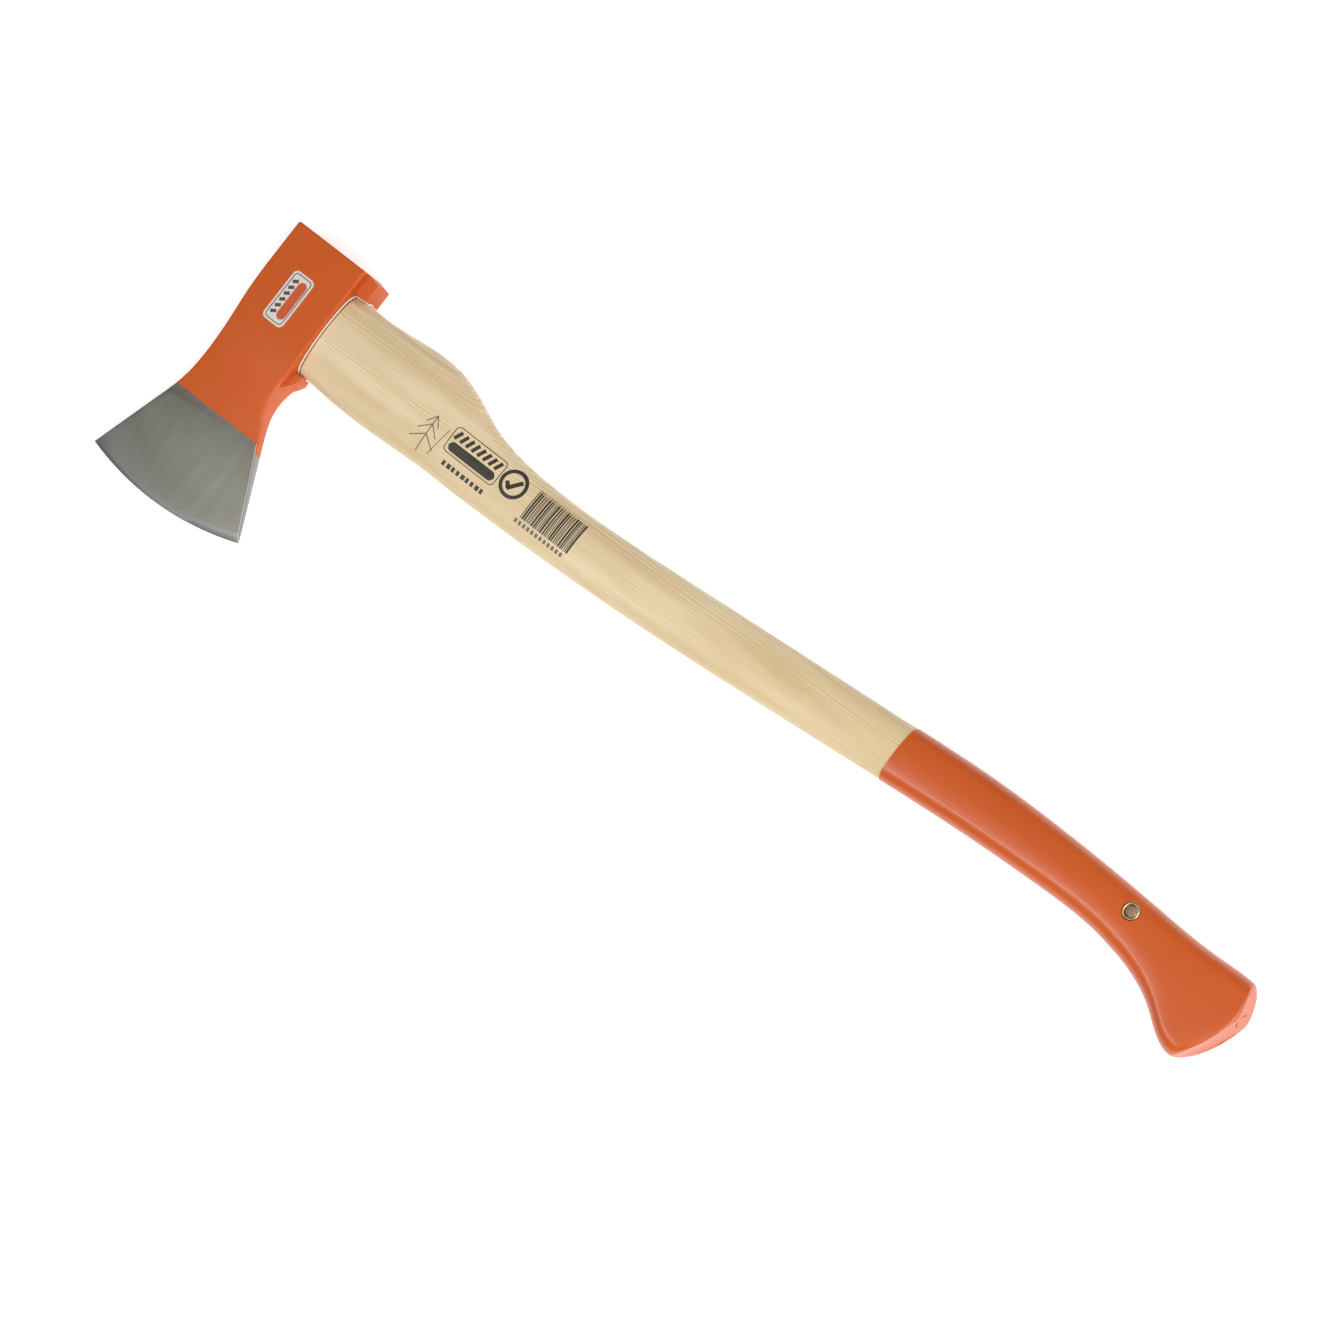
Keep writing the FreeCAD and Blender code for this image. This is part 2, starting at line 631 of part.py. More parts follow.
def end_cut(body, base_round):
    """Cuts the knob's end to a shallow curve."""
    sketch = new_sketch(body, "end_outline", "XY_Plane")
    radius = number(base_round)
    centre = vector(number(END_CENTRE_PLACE), number(size("end_centre")))
    corner_place = f"{END_CENTRE_PLACE} + {base_round} * {END_SPAN_COSINE}"
    corner = number(corner_place)
    rise = math.sqrt(radius**2 - (corner - centre.x) ** 2)
    low = vector(corner, centre.y - rise)
    high = vector(corner, centre.y + rise)
    far = f"{size('handle_reach')} + {CUTTER_MARGIN}"
    sketch.addGeometry(
        [
            arc(centre, radius, low, high),
            Part.LineSegment(high, vector(number(far), high.y)),
            Part.LineSegment(vector(number(far), high.y), vector(number(far), low.y)),
            Part.LineSegment(vector(number(far), low.y), low),
        ],
        False,
    )
    join(sketch, "Coincident", [(0, 2, 1, 1), (1, 2, 2, 1), (2, 2, 3, 1), (3, 2, 0, 1)])
    join(sketch, "Horizontal", [(1,), (3,)])
    join(sketch, "Vertical", [(2,)])
    bind(sketch, "end_round", "Radius", (0,), base_round)
    pin(sketch, "centre", 0, 3, x=END_CENTRE_PLACE, y=size("end_centre"))
    pin(sketch, "low", 0, 1, x=corner_place)
    pin(sketch, "high", 0, 2, x=corner_place)
    pin(sketch, "far", 2, 1, x=far)
    cut_through(body, "end_cut", sketch)


def hanging_hole(body):
    """The hole through the grip and the flat recess for the eyelet on each side."""
    hole = new_sketch(body, "hole_outline", "XY_Plane", (HOLE_PLACE, size("hole_level"), "0"))
    circle(hole, f"{BARREL_RADIUS} + {size('barrel_clearance')}")
    cut_through(body, "hanging_hole", hole)
    for side, offset, reverse in (("upper", FLANGE_SEAT, True), ("lower", f"-{FLANGE_SEAT}", False)):
        name = f"{side}_recess"
        sketch = new_sketch(body, f"{name}_outline", "XY_Plane", (HOLE_PLACE, size("hole_level"), offset))
        circle(sketch, f"{size('flange_radius')} + {size('recess_clearance')}")
        cut_through(body, name, sketch, "One side", reverse)


def circle(sketch, radius):
    sketch.addGeometry(Part.Circle(vector(0, 0), FreeCAD.Vector(0, 0, 1), number(radius)), False)
    join(sketch, "Coincident", [(0, 3, -1, 1)])
    bind(sketch, "radius", "Radius", (0,), radius)


def ring_outline(body):
    """Half section of the conical steel ring, about its own axis."""
    sketch = new_sketch(body, "ring_outline", "XY_Plane", (TONGUE_END, size("ring_place"), "0"))
    inner = f"{size('ring_radius')} - {size('ring_wall')}"
    tip = f"{size('ring_radius')} - ({size('ring_wall')} - {size('ring_tip_wall')}) / 2"
    tip_inner = f"{tip} - {size('ring_tip_wall')}"
    depth = size("ring_depth")
    polygon(sketch, [("0", inner), (depth, tip_inner), (depth, tip), ("0", size("ring_radius"))])
    return sketch


def turn(body, name, sketch, axis, kind):
    feature = body.newObject(f"PartDesign::{kind}", name)
    feature.Profile = sketch
    feature.ReferenceAxis = (sketch, [axis])
    feature.Angle = 360
    return feature


def wedge_outline(body, name, depth):
    """The wedge's taper seen from the bit, as deep as asked from the end of the tongue."""
    sketch = new_sketch(body, name, "XZ_Plane", (TONGUE_END, "0", "0"))
    thick = f"{size('wedge_thick')} / 2"
    slope = f"({size('wedge_thick')} - {size('wedge_tip')}) / 2 / {size('wedge_depth')}"
    tip = f"{thick} - ({slope}) * ({depth})"
    polygon(sketch, [("0", f"-{thick}"), (depth, f"-({tip})"), (depth, tip), ("0", thick)])
    return sketch


def build_handle():
    body = new_body("handle")
    rows = stations()
    wood = f"(-{size('coat_thickness')})"
    sketches = [station_section(body, row, wood if row["coated"] else "0") for row in rows]
    loft(body, "handle_loft", sketches)
    face = dict(rows[0], name="shoulder_face", place=size("shoulder_gap"))
    eased = loft(body, "shoulder_edge", [station_section(body, face, f"(-{size('shoulder_chamfer')})"), sketches[0]])
    eased.Ruled = True
    tongue = section(
        body,
        "tongue_section",
        size("shoulder_gap"),
        "0",
        f"({size('eye_length')} - 2 * {size('tongue_clearance')})",
        f"({size('eye_width')} - 2 * {size('tongue_clearance')})",
        size("eye_bit_ease"),
        size("eye_poll_ease"),
    )
    tongue_length = f"{size('shoulder_gap')} - ({TONGUE_END})"
    pad(body, "tongue", tongue, tongue_length, "One side", True)
    cut_through(body, "kerf", wedge_outline(body, "kerf_outline", size("kerf_depth")))
    turn(body, "ring_seat", ring_outline(body), "H_Axis", "Groove")
    end_cut(body, f"({size('end_round')} - {size('coat_thickness')})")
    hanging_hole(body)
    doc.recompute()
    return body


def build_coat(handle):
    """The dipped coat: the grip's outer skin with the wooden handle cut out of it."""
    body = new_body("coat_blank")
    rows = stations()
    bare = size("coat_thickness")
    loft(body, "coat_loft", [station_section(body, row, "0" if row["coated"] else bare) for row in rows])
    sketch = new_sketch(body, "coat_end_outline", "XY_Plane")
    start = next(row["place"] for row in rows if row["coated"])
    reach = f"2 * {size('eye_length')}"
    back = f"-{CUTTER_MARGIN}"
    polygon(sketch, [(back, f"-{reach}"), (start, f"-{reach}"), (start, reach), (back, reach)])
    cut_through(body, "coat_end", sketch)
    end_cut(body, size("end_round"))
    hanging_hole(body)
    doc.recompute()
    coat = doc.addObject("Part::Cut", "grip_coat")
    coat.Label = "grip_coat"
    coat.Base = body
    coat.Tool = handle
    doc.recompute()
    return coat


# ---------------------------------------------------------------- wedges, eyelet and label

def build_wooden_wedge():
    body = new_body("wooden_wedge")
    outline = wedge_outline(body, "wedge_outline", size("wedge_depth"))
    pad(body, "wedge", outline, size("wedge_length"))
    turn(body, "ring_seat", ring_outline(body), "H_Axis", "Groove")
    doc.recompute()
    return body


def build_ring_wedge():
    body = new_body("steel_ring_wedge")
    turn(body, "ring", ring_outline(body), "H_Axis", "Revolution")
    doc.recompute()
    return body


def eyelet_sketch(body, name):
    """A half section beside the hanging hole's own axis: across is the radius, up is the height."""
    return new_sketch(body, name, "XZ_Plane", (HOLE_PLACE, "0", f"-{size('hole_level')}"))


def build_eyelet():
    """A hollow rivet: a round bead on its upper side, its lower end rolled over a washer."""
    body = new_body("hang_hole_eyelet")
    sketch = eyelet_sketch(body, "eyelet_outline")
    bore = size("hole_bore")
    flange = size("flange_radius")
    lip_level = f"-({FLANGE_SEAT} + {size('washer_thick')})"
    rim_level = f"{FLANGE_SEAT} + {size('flange_thick')} - {size('flange_bead')}"
    corners = [
        (bore, lip_level),
        (LIP_RADIUS, lip_level),
        (BARREL_RADIUS, lip_level),
        (BARREL_RADIUS, FLANGE_SEAT),
        (flange, FLANGE_SEAT),
        (flange, rim_level),
        (bore, rim_level),
    ]
    here = [vector(number(x), number(y)) for x, y in corners]
    lip_centre = (here[0] + here[1]) / 2
    bead_centre = (here[5] + here[6]) / 2
    sketch.addGeometry(
        [
            arc(lip_centre, (here[1] - here[0]).Length / 2, here[0], here[1]),
            Part.LineSegment(here[1], here[2]),
            Part.LineSegment(here[2], here[3]),
            Part.LineSegment(here[3], here[4]),
            Part.LineSegment(here[4], here[5]),
            arc(bead_centre, (here[5] - here[6]).Length / 2, here[5], here[6]),
            Part.LineSegment(here[6], here[0]),
        ],
        False,
    )
    join(sketch, "Coincident", [(i, 2, (i + 1) % 7, 1) for i in range(7)])
    for i, (x, y) in enumerate(corners):
        pin(sketch, f"corner_{i}", i, 1, x, y)
    pin(sketch, "lip_centre", 0, 3, y=lip_level)
    pin(sketch, "bead_centre", 5, 3, y=rim_level)
    turn(body, "eyelet", sketch, "V_Axis", "Revolution")
    doc.recompute()
    return body


def build_washer():
    body = new_body("eyelet_washer")
    sketch = eyelet_sketch(body, "washer_outline")
    inner = f"{BARREL_RADIUS} + {size('barrel_clearance')}"
    top = f"-{FLANGE_SEAT}"
    low = f"-({FLANGE_SEAT} + {size('washer_thick')})"
    outer = size("flange_radius")
    polygon(sketch, [(inner, low), (outer, low), (outer, top), (inner, top)])
    turn(body, "washer", sketch, "V_Axis", "Revolution")
    doc.recompute()
    return body


def build_label():
    """A foil sticker on the flat of the upper cheek."""
    body = new_body("head_label")
    cheek = f"{size('head_thickness')} / 2"
    offset = (f"-{size('label_place')}", size("label_level"), cheek)
    sketch = new_sketch(body, "label_outline", "XY_Plane", offset)
    wide = f"{size('label_width')} / 2"
    tall = f"{size('label_length')} / 2"
    corners = [(f"-{wide}", f"-{tall}"), (wide, f"-{tall}"), (wide, tall), (f"-{wide}", tall)]
    polygon(sketch, corners)
    pad(body, "foil", sketch, size("label_thick"), "One side")
    doc.recompute()
    sheet_of_foil = body.Tip
    upright = [
        f"Edge{i}"
        for i, edge in enumerate(sheet_of_foil.Shape.Edges, start=1)
        if edge.Length < 2 * number(size("label_thick"))
    ]
    dress(body, "Fillet", "foil_corners", sheet_of_foil, upright, size("label_round"))
    doc.recompute()
    return body


# ---------------------------------------------------------------- assembly

def settle(pieces, movable):
    """Shifts every piece so that the origin is under the middle of the axe, on its resting plane."""
    whole = FreeCAD.BoundBox()
    for piece in pieces:
        whole.add(piece.Shape.optimalBoundingBox(True, False))
    shift = FreeCAD.Vector(-whole.Center.x, -whole.Center.y, -whole.ZMin)
    for body in movable:
        body.Placement = FreeCAD.Placement(shift, FreeCAD.Rotation())
    doc.recompute()
    print("shift from the seat frame:", shift)


def check(pieces):
    """Stops with a plain message if anything in the document or any piece is broken."""
    for item in doc.Objects:
        bad = [state for state in item.State if state in ("Invalid", "Error")]
        if bad:
            raise RuntimeError(f"{item.Label} is {bad}")
    for item in doc.Objects:
        if item.TypeId == "Sketcher::SketchObject" and not item.FullyConstrained:
            raise RuntimeError(f"sketch {item.Label} isn't fully constrained")
    for piece in pieces:
        shape = piece.Shape
        if shape.isNull() or not shape.isValid() or len(shape.Solids) != 1:
            raise RuntimeError(f"{piece.Label} isn't one valid solid")


def main():
    fill_sheet()
    head = build_head()
    handle = build_handle()
    coat = build_coat(handle)
    wedge = build_wooden_wedge()
    ring = build_ring_wedge()
    eyelet = build_eyelet()
    washer = build_washer()
    label = build_label()
    pieces = [head, handle, coat, wedge, ring, eyelet, washer, label]
    settle(pieces, [head, handle, coat.Base, wedge, ring, eyelet, washer, label])
    check(pieces)
    os.makedirs("parts", exist_ok=True)
    for piece in pieces:
        piece.Shape.exportStep(os.path.join("parts", piece.Label + ".step"))
        print(f"{piece.Label:18s} {piece.Shape.Volume / 1000:8.2f} cm3")


main()
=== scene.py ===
"""A felling axe lying on its side: the looks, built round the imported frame.

Lengths are written in millimetres and turned to metres by MM. Places are given in the axe's own seat
frame, as a maker would: x from the head's lower side towards the knob, y from the eye's middle towards
the poll, z from the plane that halves the axe.
"""

import math

import bmesh
import bpy
from mathutils import Matrix, Vector
from mathutils.bvhtree import BVHTree


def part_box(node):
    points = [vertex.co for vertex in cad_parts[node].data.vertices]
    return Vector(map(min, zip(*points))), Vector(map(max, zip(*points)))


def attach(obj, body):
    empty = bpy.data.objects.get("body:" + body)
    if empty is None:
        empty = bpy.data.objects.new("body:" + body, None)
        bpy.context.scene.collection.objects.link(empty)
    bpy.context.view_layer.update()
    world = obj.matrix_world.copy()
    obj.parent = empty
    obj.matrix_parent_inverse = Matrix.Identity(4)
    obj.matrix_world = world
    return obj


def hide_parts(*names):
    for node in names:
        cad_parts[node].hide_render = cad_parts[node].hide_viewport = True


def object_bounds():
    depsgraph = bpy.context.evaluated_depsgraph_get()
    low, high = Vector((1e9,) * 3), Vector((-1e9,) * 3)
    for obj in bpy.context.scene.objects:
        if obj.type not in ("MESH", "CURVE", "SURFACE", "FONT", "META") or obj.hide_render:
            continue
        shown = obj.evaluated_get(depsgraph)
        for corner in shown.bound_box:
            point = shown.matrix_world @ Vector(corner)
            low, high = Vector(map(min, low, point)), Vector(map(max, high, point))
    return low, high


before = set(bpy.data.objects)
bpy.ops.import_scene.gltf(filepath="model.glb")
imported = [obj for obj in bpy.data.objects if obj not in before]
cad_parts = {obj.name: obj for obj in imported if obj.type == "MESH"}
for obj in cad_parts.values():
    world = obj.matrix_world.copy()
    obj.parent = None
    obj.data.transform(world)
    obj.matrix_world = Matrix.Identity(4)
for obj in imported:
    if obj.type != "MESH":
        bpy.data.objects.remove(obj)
cad_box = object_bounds()

MM = 0.001

# ---------------------------------------------------------------- where things are

TOE_REACH = 80.5  # the edge's upper corner stands this far ahead of the seat
POLL_REACH = 45.7  # and the poll face this far from the eye's middle
GRIND_LINE = -81.2  # paint ends and ground steel starts here
END_ROUND = 60.0  # the knob's end face
END_CENTRE = (693.0, 11.3)
KNOB_END = END_CENTRE[0] + END_ROUND

head_low, head_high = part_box("axe_head")
seat = Vector(
    (
        head_low.x + TOE_REACH * MM,
        head_high.y - POLL_REACH * MM,
        (head_low.z + head_high.z) / 2,
    )
)


def place(x, y, z=0.0):
    """A point of the seat frame, in the scene's metres."""
    return seat + Vector((x, y, z)) * MM


# ---------------------------------------------------------------- node and colour helpers

def linear(code):
    """An sRGB hex colour as the linear numbers that a shader takes."""
    channels = []
    for i in (0, 2, 4):
        value = int(code[i : i + 2], 16) / 255
        channels.append(value / 12.92 if value <= 0.04045 else ((value + 0.055) / 1.055) ** 2.4)
    return (*channels, 1.0)


def add(tree, kind, out=0, stops=(), **given):
    """Adds a node and gives back one of its outputs. Each thing given is an input, a value or a
    socket to link (i0 is the first input), or one of the node's own settings. Stops are a ramp's."""
    node = tree.nodes.new("ShaderNode" + kind)
    for name, value in given.items():
        key = int(name[1:]) if name[1:].isdigit() else name.replace("_", " ")
        if isinstance(key, str) and key not in node.inputs:
            setattr(node, name, value)
        elif isinstance(value, bpy.types.NodeSocket):
            tree.links.new(value, node.inputs[key])
        else:
            node.inputs[key].default_value = value
    for i, (position, colour) in enumerate(stops):
        elements = node.color_ramp.elements
        element = elements[i] if i < len(elements) else elements.new(position)
        element.position = position
        element.color = colour
    return node.outputs[out] if node.outputs else node


def blank_material(name):
    material = bpy.data.materials.new(name)
    material.use_nodes = True
    material.node_tree.nodes.clear()
    return material, material.node_tree


def seat_millimetres(tree, x=1.0, y=1.0, z=1.0):
    """Object coordinates from the seat, in millimetres, each axis divided by a size: noise laid on
    them at a scale of 1 has grains of that size."""
    where = add(tree, "TexCoord", out=3)
    sizes = (x, y, z)
    return add(
        tree,
        "Mapping",
        Vector=where,
        Location=[-at / MM / size for at, size in zip(seat, sizes)],
        Scale=[1 / MM / size for size in sizes],
    )


# ---------------------------------------------------------------- materials

def enamelled_and_ground_steel():
    """Forged steel under sprayed orange enamel, satin with a faint orange peel. Below the grind line
    it is bare: belt-ground grey with soft streaks down the blade, and a lighter grey on every face that
    tilts away from the flat, the bevel and the side faces: a painted highlight of the key light, partly
    the honed bevel's own polish."""
    material, tree = blank_material("enamelled_and_ground_steel")
    axes = add(tree, "SeparateXYZ", out=1, Vector=seat_millimetres(tree))
    wobble = add(tree, "TexNoise", Vector=seat_millimetres(tree, 3, 3, 3), Scale=1, Detail=3)
    edge = add(tree, "Math", operation="MULTIPLY_ADD", i0=wobble, i1=0.7, i2=axes)
    facing = add(tree, "NewGeometry", out=1)
    sideways = add(tree, "SeparateXYZ", out=0, Vector=facing)
    upright = add(tree, "SeparateXYZ", out=2, Vector=facing)
    on_side = add(tree, "MapRange", Value=sideways, From_Min=0.5, From_Max=0.8, To_Max=6)
    edge = add(tree, "Math", operation="ADD", i0=edge, i1=on_side)
    painted = add(tree, "MapRange", Value=edge, From_Min=GRIND_LINE + 0.2, From_Max=GRIND_LINE + 0.6)
    bare = add(tree, "Math", operation="SUBTRACT", i0=1.0, i1=painted)

    cloud = add(tree, "TexNoise", Vector=seat_millimetres(tree, 35, 35, 35), Scale=1, Detail=3)
    enamel = add(tree, "Mix", out=2, data_type="RGBA", i0=cloud, i6=linear("C5520C"), i7=linear("CA5811"))
    fine = add(tree, "TexNoise", Vector=seat_millimetres(tree, 0.55, 30, 0.55), Scale=1, Detail=4)
    broad = add(tree, "TexNoise", Vector=seat_millimetres(tree, 5, 40, 5), Scale=1, Detail=2)
    streaks = add(tree, "Mix", out=0, i0=0.45, i2=fine, i3=broad)
    ground = add(
        tree,
        "ValToRGB",
        Fac=streaks,
        stops=[(0.3, linear("696860")), (0.5, linear("706F66")), (0.7, linear("77766D"))],
    )
    # painted highlight: bare faces that tilt from the flat get a lighter grey, partly the honed bevel's
    # polish
    lean = add(tree, "Math", operation="ABSOLUTE", i0=upright)
    honed_polish_and_painted_highlight = add(tree, "MapRange", Value=lean, From_Min=0.985, From_Max=0.96)
    metal = add(tree, "Mix", out=2, data_type="RGBA", i0=honed_polish_and_painted_highlight, i6=ground, i7=linear("949290"))
    colour = add(tree, "Mix", out=2, data_type="RGBA", i0=painted, i6=metal, i7=enamel)
    rubbed = add(tree, "MapRange", Value=fine, To_Min=0.36, To_Max=0.5)
    roughness = add(tree, "Mix", out=0, i0=painted, i2=rubbed, i3=0.5)

    peel = add(tree, "TexNoise", Vector=seat_millimetres(tree, 1.6, 1.6, 1.6), Scale=1, Detail=2)
    relief = add(tree, "Mix", out=0, i0=painted, i2=fine, i3=peel)
    skin = add(tree, "Bump", Distance=0.03 * MM, Height=relief)
    shader = add(
        tree,
        "BsdfPrincipled",
        Specular_IOR_Level=0.35,
        Base_Color=colour,
        Metallic=bare,
        Roughness=roughness,
        Normal=skin,
    )
    add(tree, "OutputMaterial", Surface=shader)
    return material


def lacquered_ash():
    """Turned ash under a thin clear lacquer: pale, with straight growth lines 1.5 to 4 mm apart that
    fade out in places, soft tan clouds, short fine pores along the grain, and a little darker towards
    the grip."""
    material, tree = blank_material("lacquered_ash")
    across = add(tree, "SeparateXYZ", out=1, Vector=seat_millimetres(tree))
    deep = add(tree, "SeparateXYZ", out=2, Vector=seat_millimetres(tree))
    along = add(tree, "SeparateXYZ", out=0, Vector=seat_millimetres(tree))
    across = add(tree, "Math", operation="MULTIPLY_ADD", i0=along, i1=-0.04, i2=across)
    across = add(tree, "Math", operation="ADD", i0=across, i1=150.0)
    deep = add(tree, "Math", operation="ADD", i0=deep, i1=45.0)
    across = add(tree, "Math", operation="POWER", i0=across, i1=2.0)
    squares = add(tree, "Math", operation="MULTIPLY_ADD", i0=deep, i1=deep, i2=across)
    radius = add(tree, "Math", operation="SQRT", i0=squares)
    drift = add(tree, "TexNoise", Vector=seat_millimetres(tree, 170, 40, 40), Scale=1, Detail=1)
    radius = add(tree, "Math", operation="MULTIPLY_ADD", i0=drift, i1=3.5, i2=radius)
    ripple = add(tree, "TexNoise", Vector=seat_millimetres(tree, 45, 4, 4), Scale=1, Detail=2)
    radius = add(tree, "Math", operation="MULTIPLY_ADD", i0=ripple, i1=0.35, i2=radius)
    uneven = add(tree, "TexNoise", noise_dimensions="1D", W=radius, Scale=0.14, Detail=1)
    growth = add(tree, "Math", operation="MULTIPLY_ADD", i0=uneven, i1=4.5, i2=radius)
    growth = add(tree, "Math", operation="DIVIDE", i0=growth, i1=1.6)
    growth = add(tree, "Math", operation="FRACT", i0=growth)
    wood = add(
        tree,
        "ValToRGB",
        Fac=growth,
        stops=[
            (0.0, linear("EFDDB8")),
            (0.35, linear("E6D2AC")),
            (0.7, linear("D5BD92")),
            (0.9, linear("BFA375")),
            (1.0, linear("E2CDA5")),
        ],
    )
    plain = add(tree, "TexNoise", noise_dimensions="1D", W=radius, Scale=0.07, Detail=1)
    plain = add(tree, "MapRange", Value=plain, From_Min=0.35, From_Max=0.65, To_Min=0.25, To_Max=0.7)
    wood = add(tree, "Mix", out=2, data_type="RGBA", i0=plain, i6=wood, i7=linear("E3CFA9"))
    tone = add(tree, "TexNoise", Vector=seat_millimetres(tree, 110, 13, 13), Scale=1, Detail=3)
    tone = add(tree, "MapRange", Value=tone, From_Min=0.42, From_Max=0.7, To_Max=0.6)
    darker = add(tree, "MapRange", Value=along, From_Min=300.0, From_Max=470.0, To_Max=0.5)
    tone = add(tree, "Math", operation="ADD", use_clamp=True, i0=tone, i1=darker)
    wood = add(tree, "Mix", out=2, data_type="RGBA", i0=tone, i6=wood, i7=linear("CBAF80"))
    fibre = add(tree, "TexNoise", Vector=seat_millimetres(tree, 9, 0.28, 0.28), Scale=1, Detail=3)
    pores = add(tree, "MapRange", Value=fibre, From_Min=0.56, From_Max=0.76)
    shade = add(tree, "Math", operation="MULTIPLY", i0=pores, i1=0.3)
    wood = add(tree, "Mix", out=2, data_type="RGBA", i0=shade, i6=wood, i7=linear("B4935F"))
    shader = add(
        tree,
        "BsdfPrincipled",
        Roughness=0.48,
        Coat_Weight=0.1,
        Coat_Roughness=0.3,
        Base_Color=wood,
        Normal=add(tree, "Bump", Distance=-0.02 * MM, Height=pores),
    )
    add(tree, "OutputMaterial", Surface=shader)
    return material


def dipped_orange_coat():
    """Thick dipped paint: glossy orange with long soft waves where it ran, slightly deeper in places."""
    material, tree = blank_material("dipped_orange_coat")
    cloud = add(tree, "TexNoise", Vector=seat_millimetres(tree, 70, 22, 22), Scale=1, Detail=2)
    colour = add(tree, "Mix", out=2, data_type="RGBA", i0=cloud, i6=linear("BC4D0C"), i7=linear("C75610"))
    waves = add(tree, "TexNoise", Vector=seat_millimetres(tree, 26, 8, 8), Scale=1, Detail=1)
    grain = add(tree, "TexNoise", Vector=seat_millimetres(tree, 1.1, 1.1, 1.1), Scale=1, Detail=2)
    height = add(tree, "Math", operation="MULTIPLY_ADD", i0=grain, i1=0.05, i2=waves)
    shader = add(
        tree,
        "BsdfPrincipled",
        Roughness=0.4,
        Coat_Weight=0.35,
        Coat_Roughness=0.2,
        Base_Color=colour,
        Normal=add(tree, "Bump", Distance=0.12 * MM, Height=height),
    )
    add(tree, "OutputMaterial", Surface=shader)
    return material


def bare_beech():
    """Sawn beech: pinkish tan with short dark flecks."""
    material, tree = blank_material("bare_beech")
    flecks = add(tree, "TexNoise", Vector=seat_millimetres(tree, 3, 0.7, 0.7), Scale=1, Detail=3)
    colour = add(
        tree,
        "ValToRGB",
        Fac=flecks,
        stops=[(0.35, linear("9C6F48")), (0.5, linear("C69C70")), (0.8, linear("D2AB80"))],
    )
    rough = add(tree, "Bump", Distance=0.08 * MM, Height=flecks)
    shader = add(tree, "BsdfPrincipled", Roughness=0.75, Base_Color=colour, Normal=rough)
    add(tree, "OutputMaterial", Surface=shader)
    return material


def turned_steel():
    """Plain turned steel with fine marks from the lathe."""
    material, tree = blank_material("turned_steel")
    marks = add(tree, "TexNoise", Vector=seat_millimetres(tree, 0.4, 0.4, 0.4), Scale=1, Detail=3)
    colour = add(tree, "Mix", out=2, data_type="RGBA", i0=marks, i6=linear("8E8E8A"), i7=linear("B4B3AE"))
    turned = add(tree, "Bump", Distance=0.02 * MM, Height=marks)
    shader = add(tree, "BsdfPrincipled", Metallic=1.0, Roughness=0.34, Base_Color=colour, Normal=turned)
    add(tree, "OutputMaterial", Surface=shader)
    return material


def pressed_brass():
    """Pressed brass, dulled by handling: brown in the bore, tan where the bead is rubbed."""
    material, tree = blank_material("pressed_brass")
    tarnish = add(tree, "TexNoise", Vector=seat_millimetres(tree, 2.2, 2.2, 2.2), Scale=1, Detail=3)
    worn = add(
        tree,
        "ValToRGB",
        Fac=tarnish,
        stops=[(0.3, linear("A08A62")), (0.7, linear("CDB78A"))],
    )
    facing = add(tree, "NewGeometry", out=1)
    upright = add(tree, "SeparateXYZ", out=2, Vector=facing)
    upright = add(tree, "Math", operation="ABSOLUTE", i0=upright)
    bore = add(tree, "MapRange", Value=upright, From_Min=0.35, From_Max=0.05)
    colour = add(tree, "Mix", out=2, data_type="RGBA", i0=bore, i6=worn, i7=linear("AD9270"))
    rough = add(tree, "MapRange", Value=tarnish, To_Min=0.24, To_Max=0.44)
    shader = add(
        tree,
        "BsdfPrincipled",
        Metallic=1.0,
        Base_Color=colour,
        Roughness=rough,
        Normal=add(tree, "Bump", Distance=0.02 * MM, Height=tarnish),
    )
    add(tree, "OutputMaterial", Surface=shader)
    return material


def silver_foil():
    """Satin silver foil of a sticker, faintly mottled."""
    material, tree = blank_material("silver_foil")
    mottle = add(tree, "TexNoise", Vector=seat_millimetres(tree, 1.2, 1.2, 1.2), Scale=1, Detail=3)
    colour = add(tree, "Mix", out=2, data_type="RGBA", i0=mottle, i6=linear("CFC8BE"), i7=linear("F1EBE4"))
    skin = add(tree, "Bump", Distance=0.01 * MM, Height=mottle)
    shader = add(tree, "BsdfPrincipled", Metallic=0.3, Roughness=0.35, Base_Color=colour, Normal=skin)
    add(tree, "OutputMaterial", Surface=shader)
    return material


def printing_ink(name, dark, light):
    """Thin printed ink, worn a little thin in speckles."""
    material, tree = blank_material(name)
    speckle = add(tree, "TexNoise", Vector=seat_millimetres(tree, 0.35, 0.35, 0.35), Scale=1, Detail=2)
    worn = add(tree, "MapRange", Value=speckle, From_Min=0.5, From_Max=0.9)
    colour = add(tree, "Mix", out=2, data_type="RGBA", i0=worn, i6=linear(dark), i7=linear(light))
    shader = add(tree, "BsdfPrincipled", Roughness=0.5, Base_Color=colour)
    add(tree, "OutputMaterial", Surface=shader)
    return material


def pale_bead_highlight_white():
    """Milky white, a little glossy, faintly mottled: a painted highlight, the bright edge of the handle's
    shoulder at the eye's mouth.
    """
    material, tree = blank_material("pale_bead_highlight_white")
    bead_mottle = add(tree, "TexNoise", Vector=seat_millimetres(tree, 0.6, 0.6, 0.6), Scale=1, Detail=2)
    # painted highlight: this milky white stands for the bright edge of the handle's shoulder
    colour = add(tree, "Mix", out=2, data_type="RGBA", i0=bead_mottle, i6=linear("E3D2C3"), i7=linear("FAF3EC"))
    skin = add(tree, "Bump", Distance=0.05 * MM, Height=bead_mottle)
    shader = add(tree, "BsdfPrincipled", Roughness=0.35, Base_Color=colour, Normal=skin)
    add(tree, "OutputMaterial", Surface=shader)
    return material


